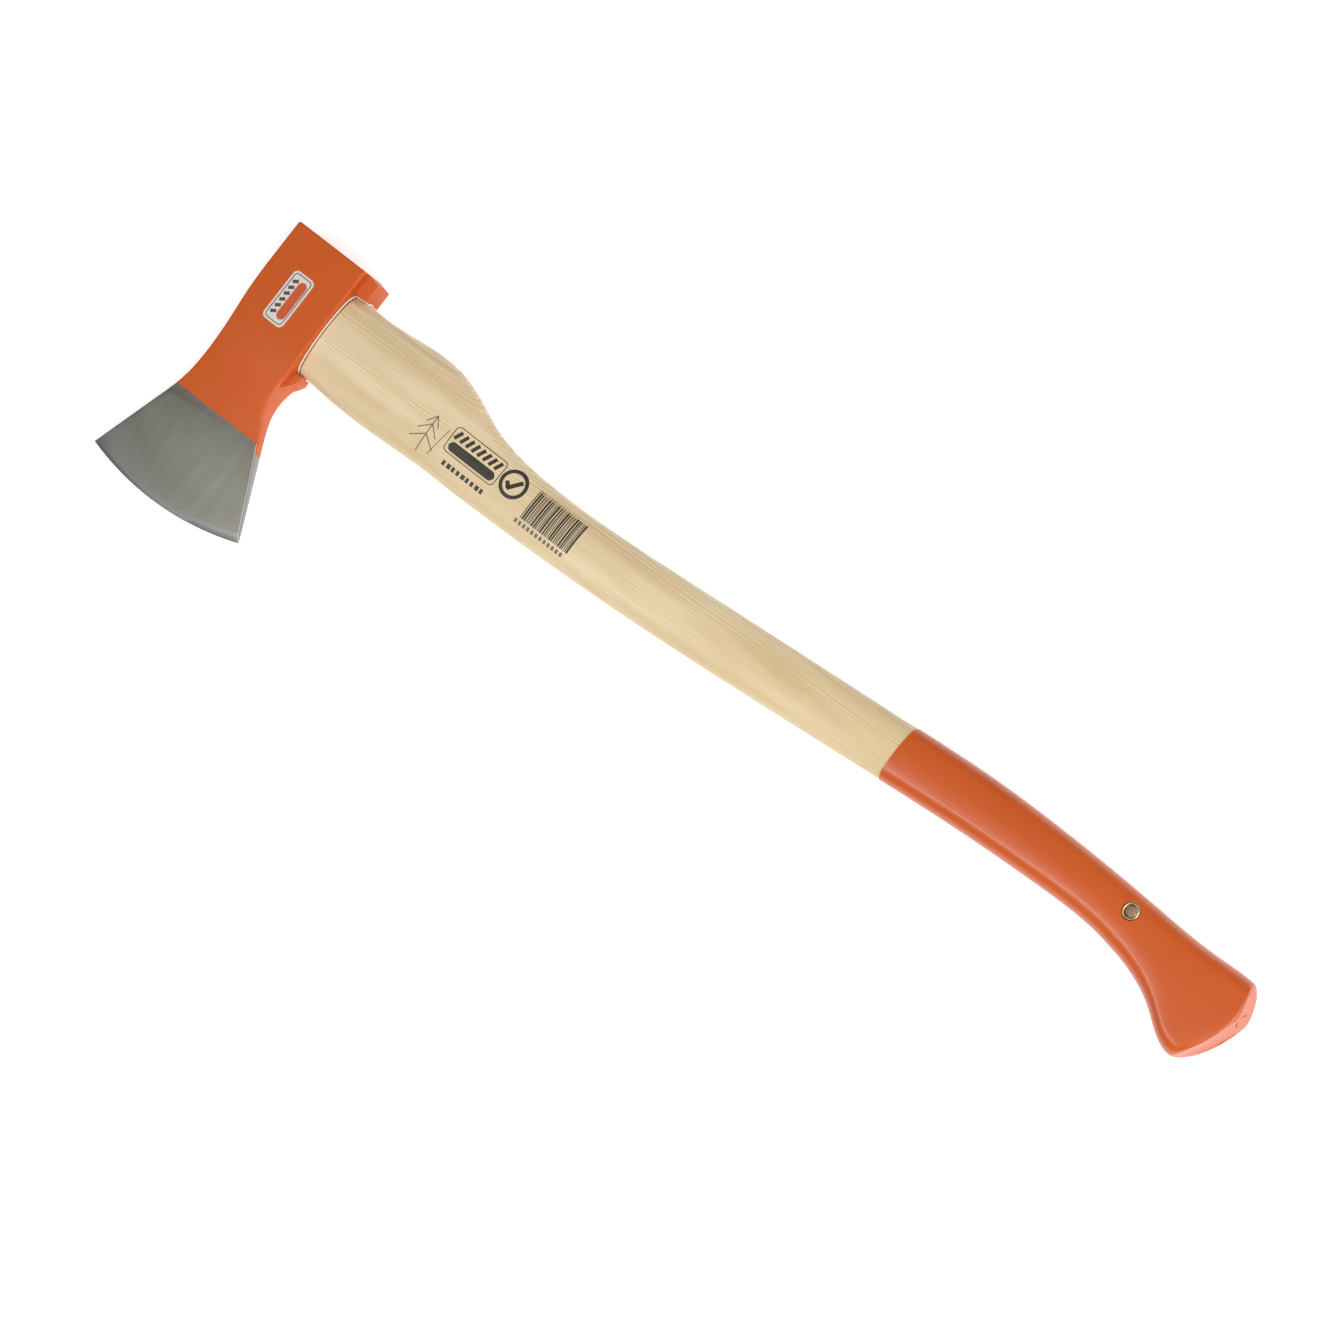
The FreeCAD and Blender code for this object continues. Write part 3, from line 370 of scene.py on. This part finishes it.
def pale_floor():
    """A lit white studio table."""
    material, tree = blank_material("pale_floor")
    shader = add(
        tree,
        "BsdfPrincipled",
        Base_Color=linear("F2F2F2"),
        Roughness=0.9,
        Specular_IOR_Level=0.1,
        Emission_Color=linear("FFFFFF"),
        Emission_Strength=0.5,
    )
    add(tree, "OutputMaterial", Surface=shader)
    return material


def repaint(node, material):
    """Gives a CAD node one material."""
    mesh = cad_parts[node].data
    mesh.materials.clear()
    mesh.materials.append(material)


# ---------------------------------------------------------------- mesh helpers

CREASE = math.radians(35)  # faces that meet at more than this keep a hard edge
WELD = 0.002  # points closer than this are one point


def new_piece(name, bm, material):
    """Makes a fixed piece of a finished mesh, in one of the object's slots."""
    mesh = bpy.data.meshes.new(name)
    bm.to_mesh(mesh)
    bm.free()
    mesh.materials.append(material)
    piece = bpy.data.objects.new(name, mesh)
    bpy.context.scene.collection.objects.link(piece)
    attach(piece, "root")
    return piece


def skin_of(node):
    """A tree of one CAD node's surface, for finding where it is."""
    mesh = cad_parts[node].data
    points = [v.co.copy() for v in mesh.vertices]
    return BVHTree.FromPolygons(points, [tuple(face.vertices) for face in mesh.polygons])


def face_outwards(bm):
    """Turns every face of a closed mesh outwards."""
    bm.normal_update()
    bmesh.ops.recalc_face_normals(bm, faces=bm.faces)


def smooth_shade(bm):
    for face in bm.faces:
        face.smooth = True


def mark_sharp(mesh, angle):
    """Smooth shading with a crease wherever two faces meet at more than an angle."""
    bm = bmesh.new()
    bm.from_mesh(mesh)
    smooth_shade(bm)
    for edge in bm.edges:
        edge.smooth = edge.calc_face_angle(0.0) < angle
    bm.to_mesh(mesh)
    bm.free()


# ---------------------------------------------------------------- the grip's coat

COAT_LENGTH = 284.3
COAT_STEP = 4.0  # rings along the grip,
COAT_FINE_STEP = 1.0  # closer together near the knob's end, whose edge is then eased
COAT_FINE_LENGTH = 14.0
COAT_SAMPLES = 128  # points round a ring
END_MISS = 0.02  # the first and last rings stay this far off the coat's ends
END_BEND_LENGTH = 70.0  # over this length the rings bend to the shape of the end face
END_INSETS = (0.07, 0.14, 0.22, 0.3, 0.4, 0.52, 0.66, 0.82)  # of the half thickness
LIP_INSET = 0.07  # so is this: the coat's front edge is drawn in a little
EDGE_EASE_RINGS = 6
EDGE_EASE_TIMES = 8
EDGE_EASE = 0.5
PROBE = 100.0  # rays start this far out
TOUCH_TRIES = 6
HOLE_PLACE = 98.0  # the eyelet's hole, back from the knob's end
HOLE_LEVEL = 23.5
HOLE_RADIUS = 4.7
HOLE_SEAT_RADIUS = 6.3
HOLE_SEAT_LEVEL = 10.3
HOLE_CLEAR = 8.0  # no ring crosses the hole, so that none dips into it
HOLE_STEPS = 64
TUCK_LENGTH = 24.0  # the wood's end is kept inside the eased coat over this length
TUCK_STEP = 1.5  # the wood is cut across this often there, and
TUCK_LAYERS = 5  # along into layers either side of the middle,
TUCK_DEPTH = 0.4  # then each point is kept this far under the coat


def end_face_place(y):
    """Where the knob's curved end face is at a height, in the seat frame."""
    return END_CENTRE[0] + math.sqrt(END_ROUND**2 - (y - END_CENTRE[1]) ** 2)


def coat_ring(skin, station):
    """Height and depth of the coat's skin round one station, with the station's own place."""
    near_end = max(0.0, 1 - (KNOB_END - station) / END_BEND_LENGTH)
    bend = near_end**2 * (3 - 2 * near_end)

    def touch(middle, across, deep, height):
        for _ in range(TOUCH_TRIES):
            x = station + bend * (end_face_place(height) - KNOB_END)
            start = place(x, middle + across * PROBE, deep * PROBE)
            hit = skin.ray_cast(start, place(x, middle) - start)[0]
            height = (hit.y - seat.y) / MM
        return x, height, (hit.z - seat.z) / MM

    top = touch(END_CENTRE[1], 1.0, 0.0, END_CENTRE[1])[1]
    low = touch(END_CENTRE[1], -1.0, 0.0, END_CENTRE[1])[1]
    middle, half = (top + low) / 2, (top - low) / 2
    thick = touch(middle, 0.0, 1.0, middle)[2]
    ring = []
    for i in range(COAT_SAMPLES + 1):
        angle = 2 * math.pi * i / COAT_SAMPLES
        across, deep = half * math.cos(angle), thick * math.sin(angle)
        length = math.hypot(across, deep)
        ring.append(touch(middle, across / length, deep / length, middle + across))
    return ring


def inset_ring(ring, share):
    """The ring drawn in all round by a share of its half thickness."""
    top, low, thick = ring[0][1], ring[COAT_SAMPLES // 2][1], ring[COAT_SAMPLES // 4][2]
    middle, half = (top + low) / 2, (top - low) / 2
    narrow, thin = 1 - share * thick / half, 1 - share
    return [(x, middle + (y - middle) * narrow, z * thin) for x, y, z in ring]


def middle_line(ring):
    """The ring pressed flat onto the middle plane, where its two halves meet and close it."""
    last = len(ring) - 1
    return [(*ring[min(i, last - i)][:2], 0.0) for i in range(last + 1)]


def coat_rings():
    """Every ring of the coat, from the closed front inside the wood to the middle of the end face."""
    skin = skin_of("grip_coat")
    start = KNOB_END - COAT_LENGTH + END_MISS
    fine = KNOB_END - COAT_FINE_LENGTH
    coarse_count = round((fine - start) / COAT_STEP)
    stations = [start + (fine - start) * i / coarse_count for i in range(coarse_count)]
    fine_count = round(COAT_FINE_LENGTH / COAT_FINE_STEP)
    fine_reach = COAT_FINE_LENGTH - END_MISS
    stations += [fine + fine_reach * i / fine_count for i in range(fine_count + 1)]
    hole = KNOB_END - HOLE_PLACE
    sides = [coat_ring(skin, station) for station in stations if abs(station - hole) > HOLE_CLEAR]
    lip = inset_ring(sides[0], LIP_INSET)
    face = [
        [(end_face_place(y), y, z) for _, y, z in inset_ring(sides[-1], share)]
        for share in END_INSETS
    ]
    return [middle_line(inset_ring(sides[0], END_INSETS[-1])), lip, *sides, *face, middle_line(face[-1])]


def apply_cut(piece, cutter):
    """Cuts one closed mesh out of another for good, and removes the cutter. The exact solver gives
    a wrong result on the coat, because of the folds in its end face."""
    cut = piece.modifiers.new("cut", "BOOLEAN")
    cut.object = cutter
    cut.solver = "MANIFOLD"
    graph = bpy.context.evaluated_depsgraph_get()
    mesh = bpy.data.meshes.new_from_object(piece.evaluated_get(graph))
    piece.modifiers.clear()
    old = piece.data
    piece.data = mesh
    bpy.data.meshes.remove(old)
    bpy.data.objects.remove(cutter)


def hanging_hole_cutter():
    """The hole and the eyelet's two seats as one turned solid."""
    bm = bmesh.new()
    axis = place(KNOB_END - HOLE_PLACE, HOLE_LEVEL)
    half = [(0.0, PROBE), (HOLE_SEAT_RADIUS, PROBE), (HOLE_SEAT_RADIUS, HOLE_SEAT_LEVEL)]
    half.append((HOLE_RADIUS, HOLE_SEAT_LEVEL))
    outline = half + [(radius, -height) for radius, height in reversed(half)]
    points = [bm.verts.new(axis + Vector((radius, 0, height)) * MM) for radius, height in outline]
    profile = [bm.edges.new(pair) for pair in zip(points, points[1:])]
    bmesh.ops.spin(
        bm,
        geom=points + profile,
        cent=axis,
        axis=(0, 0, 1),
        angle=2 * math.pi,
        steps=HOLE_STEPS,
        use_merge=True,
    )
    bmesh.ops.remove_doubles(bm, verts=bm.verts, dist=WELD * MM)
    face_outwards(bm)
    mesh = bpy.data.meshes.new("hole_cutter")
    bm.to_mesh(mesh)
    bm.free()
    cutter = bpy.data.objects.new("hole_cutter", mesh)
    bpy.context.scene.collection.objects.link(cutter)
    return cutter


def make_grip_coat(material):
    """The coat as one filled form with the wood's end inside it, not as a thin shell: a lip at its
    front and an eased edge round the knob's end. On the end face a few of its faces fold over."""
    rings = coat_rings()
    edge_ring = len(rings) - 2 - len(END_INSETS)
    bm = bmesh.new()
    bmesh.ops.create_grid(bm, x_segments=COAT_SAMPLES, y_segments=len(rings) - 1, size=1.0)
    eased = []
    for vert in bm.verts:
        i = round((vert.co.x + 1) / 2 * COAT_SAMPLES)
        j = round((vert.co.y + 1) / 2 * (len(rings) - 1))
        vert.co = place(*rings[j][i])
        if j >= edge_ring - EDGE_EASE_RINGS:
            eased.append(vert)
    merged = bmesh.ops.find_doubles(bm, verts=bm.verts, dist=WELD * MM)["targetmap"]
    eased = [vert for vert in eased if vert not in merged]
    bmesh.ops.weld_verts(bm, targetmap=merged)
    for _ in range(EDGE_EASE_TIMES):
        bmesh.ops.smooth_vert(
            bm,
            verts=eased,
            factor=EDGE_EASE,
            use_axis_x=True,
            use_axis_y=True,
            use_axis_z=True,
        )
    bm.normal_update()  # the grid's faces look outwards; the folds would mislead a recalculation
    outside = BVHTree.FromBMesh(bm)
    coat_piece = new_piece("grip_coat_skin", bm, material)
    apply_cut(coat_piece, hanging_hole_cutter())
    mark_sharp(coat_piece.data, CREASE)
    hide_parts("grip_coat")
    return outside


def make_handle(material, coat_outside):
    """The ash handle, with the knob's hidden end drawn in under the coat's eased edge."""
    bm = bmesh.new()
    bm.from_mesh(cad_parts["handle"].data)
    bmesh.ops.remove_doubles(bm, verts=bm.verts, dist=WELD * MM)
    cuts = [
        (place(KNOB_END - TUCK_STEP * (i + 0.5), 0), (1, 0, 0))
        for i in range(round(TUCK_LENGTH / TUCK_STEP))
    ]
    cuts += [(place(0, 0, TUCK_STEP * 2 * i), (0, 0, 1)) for i in range(-TUCK_LAYERS, TUCK_LAYERS + 1)]
    for point, across in cuts:
        whole = bm.verts[:] + bm.edges[:] + bm.faces[:]
        bmesh.ops.bisect_plane(bm, geom=whole, plane_co=point, plane_no=across)
    for vert in bm.verts:
        if vert.co.x > place(KNOB_END - TUCK_LENGTH, 0).x:
            nearest, normal = coat_outside.find_nearest(vert.co)[:2]
            if (nearest - vert.co).dot(normal) < TUCK_DEPTH * MM:
                vert.co = nearest - normal * TUCK_DEPTH * MM
    handle = new_piece("ash_handle", bm, material)
    mark_sharp(handle.data, CREASE)
    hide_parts("handle")


# ---------------------------------------------------------------- the head

LUG_START = 0.6  # the lugs, and the heel's very corner, stand out past here
LUG_EDGE = math.radians(28)  # edges sharper than this are rounded
LUG_ROUND = 1.3  # asked for: short edges at the heel clamp it to about 0.3
LUG_ROUND_STEPS = 3


def make_head(material):
    """The forged head, with the lugs' edges eased a little as the die and the enamel leave them."""
    bm = bmesh.new()
    bm.from_mesh(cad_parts["axe_head"].data)
    bmesh.ops.remove_doubles(bm, verts=bm.verts, dist=WELD * MM)
    start = place(LUG_START, 0).x
    sharp = [
        edge
        for edge in bm.edges
        if min(vert.co.x for vert in edge.verts) > start and edge.calc_face_angle(0.0) > LUG_EDGE
    ]
    bmesh.ops.bevel(
        bm,
        geom=sharp,
        offset=LUG_ROUND * MM,
        affect="EDGES",
        segments=LUG_ROUND_STEPS,
        profile=0.5,
        material=-1,
        clamp_overlap=True,
    )
    head = new_piece("forged_axe_head", bm, material)
    mark_sharp(head.data, CREASE)
    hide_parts("axe_head")


# ---------------------------------------------------------------- the painted highlight round the eye's mouth

BEAD_POINTS = 180
BEAD_STATION = 8.0  # the handle keeps the eye's outline here
BEAD_RADIUS = 0.7


def make_shoulder_highlight_bead():
    """A thin pale bead round the eye's mouth: a painted highlight that stands for the bright edge of the
    handle's shoulder there.
    """
    wood, head = skin_of("handle"), skin_of("axe_head")
    curve = bpy.data.curves.new("shoulder_highlight_curve", "CURVE")
    curve.dimensions = "3D"
    curve.bevel_depth = BEAD_RADIUS * MM
    curve.bevel_resolution = 3
    spline = curve.splines.new("POLY")
    spline.points.add(BEAD_POINTS - 1)
    spline.use_cyclic_u = True
    for i, point in enumerate(spline.points):
        angle = 2 * math.pi * i / BEAD_POINTS
        outward = Vector((0, math.cos(angle), math.sin(angle)))
        surface, normal = wood.ray_cast(place(BEAD_STATION, 0) + outward * PROBE * MM, -outward)[:2]
        beside = surface + normal * BEAD_RADIUS * MM + Vector((PROBE * MM, 0, 0))
        mouth = head.ray_cast(beside, Vector((-1, 0, 0)))[0]
        point.co = (mouth.x, surface.y, surface.z, 1.0)
    bead = bpy.data.objects.new("shoulder_highlight_curve", curve)
    mesh = bpy.data.meshes.new_from_object(bead)
    bpy.data.objects.remove(bead)
    bm = bmesh.new()
    bm.from_mesh(mesh)
    bpy.data.meshes.remove(mesh)
    smooth_shade(bm)
    # the pale bead is a painted highlight of the handle shoulder's edge
    new_piece("shoulder_highlight_bead", bm, pale_bead_highlight_white())


# ---------------------------------------------------------------- printed and stamped marks

INK_PROUD = 0.08  # the ink's top stands this far off the surface, so that it shows
INK_DEEP = 0.12  # and its underside lies in the surface
PATCH_STEP = 2.0  # grid size of a mark that follows a curved surface
SLAB_STEP = 1.5
SLAB_BLUNT = 0.995  # a slab's end stops just short of a point
LOOP_POINTS = 96


def lay_on(bm, skin, proud):
    """Drops flat shapes drawn in the seat frame's x and y onto a skin, seen from above."""
    for vert in bm.verts:
        hit = skin.ray_cast(place(vert.co.x, vert.co.y, PROBE), Vector((0, 0, -1)))[0]
        vert.co = hit + Vector((0, 0, proud * MM))


def ink(name, shapes, skin, material):
    """Thin ink on a skin: shapes is a function that draws them flat into an empty mesh."""
    bm = bmesh.new()
    shapes(bm)
    lay_on(bm, skin, INK_PROUD)
    bmesh.ops.recalc_face_normals(bm, faces=bm.faces)
    for face in bm.faces:
        if face.normal.z < 0:
            face.normal_flip()
    bmesh.ops.solidify(bm, geom=bm.faces[:], thickness=INK_DEEP * MM)
    face_outwards(bm)
    new_piece(name, bm, material)


def patch(bm, low, high, step=PATCH_STEP):
    """A flat rectangle, cut fine enough to follow a curved surface."""
    counts = [max(1, math.ceil((b - a) / step)) for a, b in zip(low, high)]
    made = bmesh.ops.create_grid(bm, x_segments=counts[0], y_segments=counts[1], size=0.5)["verts"]
    middle = [(a + b) / 2 for a, b in zip(low, high)]
    bmesh.ops.scale(bm, verts=made, vec=(high[0] - low[0], high[1] - low[1], 1))
    bmesh.ops.translate(bm, verts=made, vec=(*middle, 0))
    return made


def bar(bm, start, end, width):
    """A straight stroke between two points."""
    start, end = Vector(start), Vector(end)
    length = (end - start).length
    made = patch(bm, (0, -width / 2), (length, width / 2))
    angle = math.atan2(end.y - start.y, end.x - start.x)
    bmesh.ops.rotate(bm, verts=made, cent=(0, 0, 0), matrix=Matrix.Rotation(angle, 3, "Z"))
    bmesh.ops.translate(bm, verts=made, vec=(*start, 0))


def rounded_loop(bm, middle, width, height, corner):
    """A closed loop of edges: a rectangle with round corners, its points evenly spaced."""
    made = bmesh.ops.create_circle(bm, segments=LOOP_POINTS, radius=1.0)["verts"]
    straight = (width - 2 * corner, height - 2 * corner)
    quarter = math.pi / 2 * corner
    around = 2 * (straight[0] + straight[1] + 2 * quarter)
    for i, vert in enumerate(made):
        left = around * i / LOOP_POINTS
        for side in range(4):
            run = straight[(side + 1) % 2]
            if left <= run + quarter:
                break
            left -= run + quarter
        turn = math.pi / 2 * side
        along = min(left, run) - run / 2
        angle = max(0.0, left - run) / corner if corner else 0.0
        reach = straight[side % 2] / 2
        local = Vector((reach + corner * math.cos(angle), along + corner * math.sin(angle)))
        local.rotate(Matrix.Rotation(turn, 2))
        vert.co = (middle[0] + local.x, middle[1] + local.y, 0)
    return [edge for edge in bm.edges if edge.verts[0] in made and edge.verts[1] in made]


def band(bm, middle, width, height, corner, stroke):
    """A closed stroke along a rounded rectangle, drawn inwards from its outside."""
    loops = [
        rounded_loop(bm, middle, width - 2 * inset, height - 2 * inset, corner - inset)
        for inset in (0.0, stroke / 2, stroke)
    ]
    for outer, inner in zip(loops, loops[1:]):
        bmesh.ops.bridge_loops(bm, edges=outer + inner)


def slab(bm, middle, width, height):
    """A filled bar with half-round ends."""
    corner = height / 2
    made = patch(bm, (-width / 2, -corner), (width / 2, corner), SLAB_STEP)
    for vert in made:
        past = max(0.0, abs(vert.co.x) - (width / 2 - corner)) / corner
        vert.co.y *= math.sqrt(1 - min(past, SLAB_BLUNT) ** 2)
    bmesh.ops.translate(bm, verts=made, vec=(*middle, 0))


BRANCHES = ((0.49, 0.23, 0.36), (0.76, 0.5, 0.28), (1.0, 0.74, 0.18))  # root, tip and reach by height


def fir_tree(bm, foot, height, stroke):
    """A plain fir tree: three pairs of drooping branches on a trunk, growing along y."""
    x, y = foot
    bar(bm, (x, y), (x, y + height), stroke)
    for root, tip, reach in BRANCHES:
        for side in (-1, 1):
            bar(bm, (x, y + height * root), (x + side * height * reach, y + height * tip), stroke)


def make_handle_prints():
    """Plain dark marks printed on the upper side of the handle: a tree, a panel, a tick in a ring,
    a row of dashes and a block of bars. They say nothing."""
    wood = skin_of("handle")
    black = printing_ink("black_ink", "2E2A25", "5B5347")
    thin = printing_ink("thin_grey_ink", "6B6250", "A3957A")

    def woodcut(bm):
        fir_tree(bm, (95.5, -23.5), 26.0, 0.7)
        for i in range(6):
            bar(bm, (103.5 + 0.6 * i, -20.5 + 3.4 * i), (104.1 + 0.6 * i, -17.1 + 3.4 * i), 0.5)

    def panel(bm):
        band(bm, (130.5, -3.2), 41.5, 18.4, 3.2, 0.55)
        slab(bm, (130.5, -7.3), 37.4, 6.4)
        for i in range(8):
            left = 112.4 + 4.7 * i
            bar(bm, (left, -2.4), (left + 2.6, 3.6), 2.4)

    def dashes(bm):
        for i in range(9):
            start = 115.0 + 3.9 * i
            patch(bm, (start, -20.2), (start + 2.2 + 0.6 * (i % 3 == 1), -17.0))

    def ring_and_tick(bm):
        band(bm, (161.8, -2.4), 19.4, 19.4, 9.7, 2.4)
        bar(bm, (157.0, -2.9), (160.4, -6.6), 2.8)
        bar(bm, (159.7, -6.8), (166.4, 1.8), 2.8)

    def bars(bm):
        start = 178.3
        for i in range(27):
            width = (0.6, 1.1, 0.45, 1.4, 0.75)[i * 3 % 5]
            gap = (0.6, 0.8, 0.45)[i * 2 % 3]
            patch(bm, (start, -16.4), (start + width, 5.2))
            start += width + gap

    def small_dashes(bm):
        for i in range(12):
            patch(bm, (176.0 + 3.4 * i, -20.6), (178.0 + 3.4 * i, -17.9))

    ink("tree_print", woodcut, wood, thin)
    ink("panel_print", panel, wood, black)
    ink("dash_print", dashes, wood, black)
    ink("ring_print", ring_and_tick, wood, black)
    ink("bar_print", bars, wood, black)
    ink("small_dash_print", small_dashes, wood, thin)


LABEL_MIDDLE = (-29.4, 2.6)


def make_label_prints():
    """What is printed on the foil: a thin frame, an orange panel with a tree, and a row of bars."""
    foil = skin_of("head_label")
    orange = printing_ink("label_orange_ink", "C2521F", "CE6A35")
    brown = printing_ink("label_brown_ink", "5A3A2E", "7C5A4A")
    x, y = LABEL_MIDDLE

    def frame_line(bm):
        band(bm, (x, y), 13.6, 33.6, 2.6, 0.55)

    def column(bm):
        for i in range(6):
            low = y - 12.6 + 4.6 * i
            bar(bm, (x - 4.9, low), (x - 1.6, low + 2.2), 2.2)

    def panel(bm):
        made = len(bm.verts)
        slab(bm, (0, 0), 28.0, 6.2)
        bm.verts.ensure_lookup_table()
        quarter = Matrix.Rotation(math.pi / 2, 3, "Z")
        bmesh.ops.rotate(bm, verts=bm.verts[made:], cent=(0, 0, 0), matrix=quarter)
        bmesh.ops.translate(bm, verts=bm.verts[made:], vec=(x + 2.6, y, 0))

    ink("label_frame_print", frame_line, foil, brown)
    ink("label_bar_print", column, foil, brown)
    ink("label_panel_print", panel, foil, orange)


STAMP_MIDDLE = (-30.5, -60.6)
STAMP_SIZE = (12.0, 21.0)
STAMP_STROKE = 1.4
STAMP_BARS = 3
STAMP_BAR_SIZE = (6.0, 2.0)
STAMP_BAR_PITCH = 4.5


def make_forging_stamp(material):
    """A low oval ring with three bars in it, raised on the cheek by the forging die, enamelled over."""
    x, y = STAMP_MIDDLE

    def oval(bm):
        band(bm, (x, y), *STAMP_SIZE, STAMP_SIZE[0] / 2, STAMP_STROKE)
        for i in range(STAMP_BARS):
            slab(bm, (x, y + STAMP_BAR_PITCH * (i - STAMP_BARS // 2)), *STAMP_BAR_SIZE)

    ink("forging_stamp", oval, skin_of("axe_head"), material)


# ---------------------------------------------------------------- stage, light and camera

TILT = math.radians(19.7)  # the camera leans this far towards the knob from straight above
ROLL = math.radians(37.9)  # and the axe runs this far below the level in the frame
FRAME_WIDTH = 831.8  # what the frame spans at the axe, mm
AIM_LEVEL = -35.7  # the frame's middle is reckoned from this height of the seat,
AIM_RIGHT = 232.0  # this far right
AIM_DOWN = 177.6  # and this far down in the frame
CAMERA_AWAY = 20.0  # metres
SENSOR = 36.0
FLOOR_SIDE = 8.0  # metres
WORLD_STRENGTH = 0.22


def camera_axes():
    """Right, up and back of the camera."""
    back = Vector((math.sin(TILT), 0, math.cos(TILT)))
    along = Vector((math.cos(TILT), 0, -math.sin(TILT)))
    across = Vector((0, 1, 0))
    right = along * math.cos(ROLL) + across * math.sin(ROLL)
    up = across * math.cos(ROLL) - along * math.sin(ROLL)
    return right, up, back


def set_camera():
    right, up, back = camera_axes()
    middle = place(0, AIM_LEVEL) + (right * AIM_RIGHT - up * AIM_DOWN) * MM
    data = bpy.data.cameras.new("camera")
    data.sensor_width = SENSOR
    data.lens = SENSOR * CAMERA_AWAY / (FRAME_WIDTH * MM)
    data.clip_start = 1.0
    data.clip_end = 100.0
    camera = bpy.data.objects.new("camera", data)
    turn = Matrix((right, up, back)).transposed().to_4x4()
    camera.matrix_world = Matrix.Translation(middle + back * CAMERA_AWAY) @ turn
    bpy.context.scene.collection.objects.link(camera)
    bpy.context.scene.camera = camera


def soft_light(name, towards, distance, size, power):
    """A white oblong soft box that faces the middle of the axe from a direction."""
    data = bpy.data.lights.new(name, "AREA")
    data.shape = "RECTANGLE"
    data.size, data.size_y = size
    data.energy = power
    light = bpy.data.objects.new(name, data)
    direction = Vector(towards).normalized()
    middle = (cad_box[0] + cad_box[1]) / 2
    turn = direction.to_track_quat("Z", "Y").to_matrix().to_4x4()
    light.matrix_world = Matrix.Translation(middle + direction * distance) @ turn
    bpy.context.scene.collection.objects.link(light)


def set_stage():
    bm = bmesh.new()
    bmesh.ops.create_grid(bm, x_segments=1, y_segments=1, size=FLOOR_SIDE / 2)
    mesh = bpy.data.meshes.new("floor")
    bmesh.ops.translate(bm, verts=bm.verts, vec=(0, 0, cad_box[0].z))
    bm.to_mesh(mesh)
    bm.free()
    mesh.materials.append(pale_floor())
    floor = bpy.data.objects.new("floor", mesh)
    bpy.context.scene.collection.objects.link(floor)
    world = bpy.data.worlds.new("studio")
    world.use_nodes = True
    background = world.node_tree.nodes["Background"]
    background.inputs["Color"].default_value = linear("FFFFFF")
    background.inputs["Strength"].default_value = WORLD_STRENGTH
    bpy.context.scene.world = world
    soft_light("overhead", (0.55, 0.05, 0.83), 2.2, (1.4, 1.8), 39.0)
    soft_light("grip_strip", (-0.3, -0.39, 0.87), 1.5, (1.2, 0.16), 7.0)
    soft_light("knob_side", (1.0, -0.3, 0.25), 1.8, (1.2, 0.6), 6.0)
    bpy.context.scene.view_settings.view_transform = "Standard"


# ---------------------------------------------------------------- putting it together

steel = enamelled_and_ground_steel()
brass = pressed_brass()
make_head(steel)
repaint("wooden_wedge", bare_beech())
repaint("steel_ring_wedge", turned_steel())
repaint("hang_hole_eyelet", brass)
repaint("eyelet_washer", brass)
repaint("head_label", silver_foil())
coat_outside = make_grip_coat(dipped_orange_coat())
make_handle(lacquered_ash(), coat_outside)
make_shoulder_highlight_bead()
make_handle_prints()
make_label_prints()
make_forging_stamp(steel)
set_stage()
set_camera()
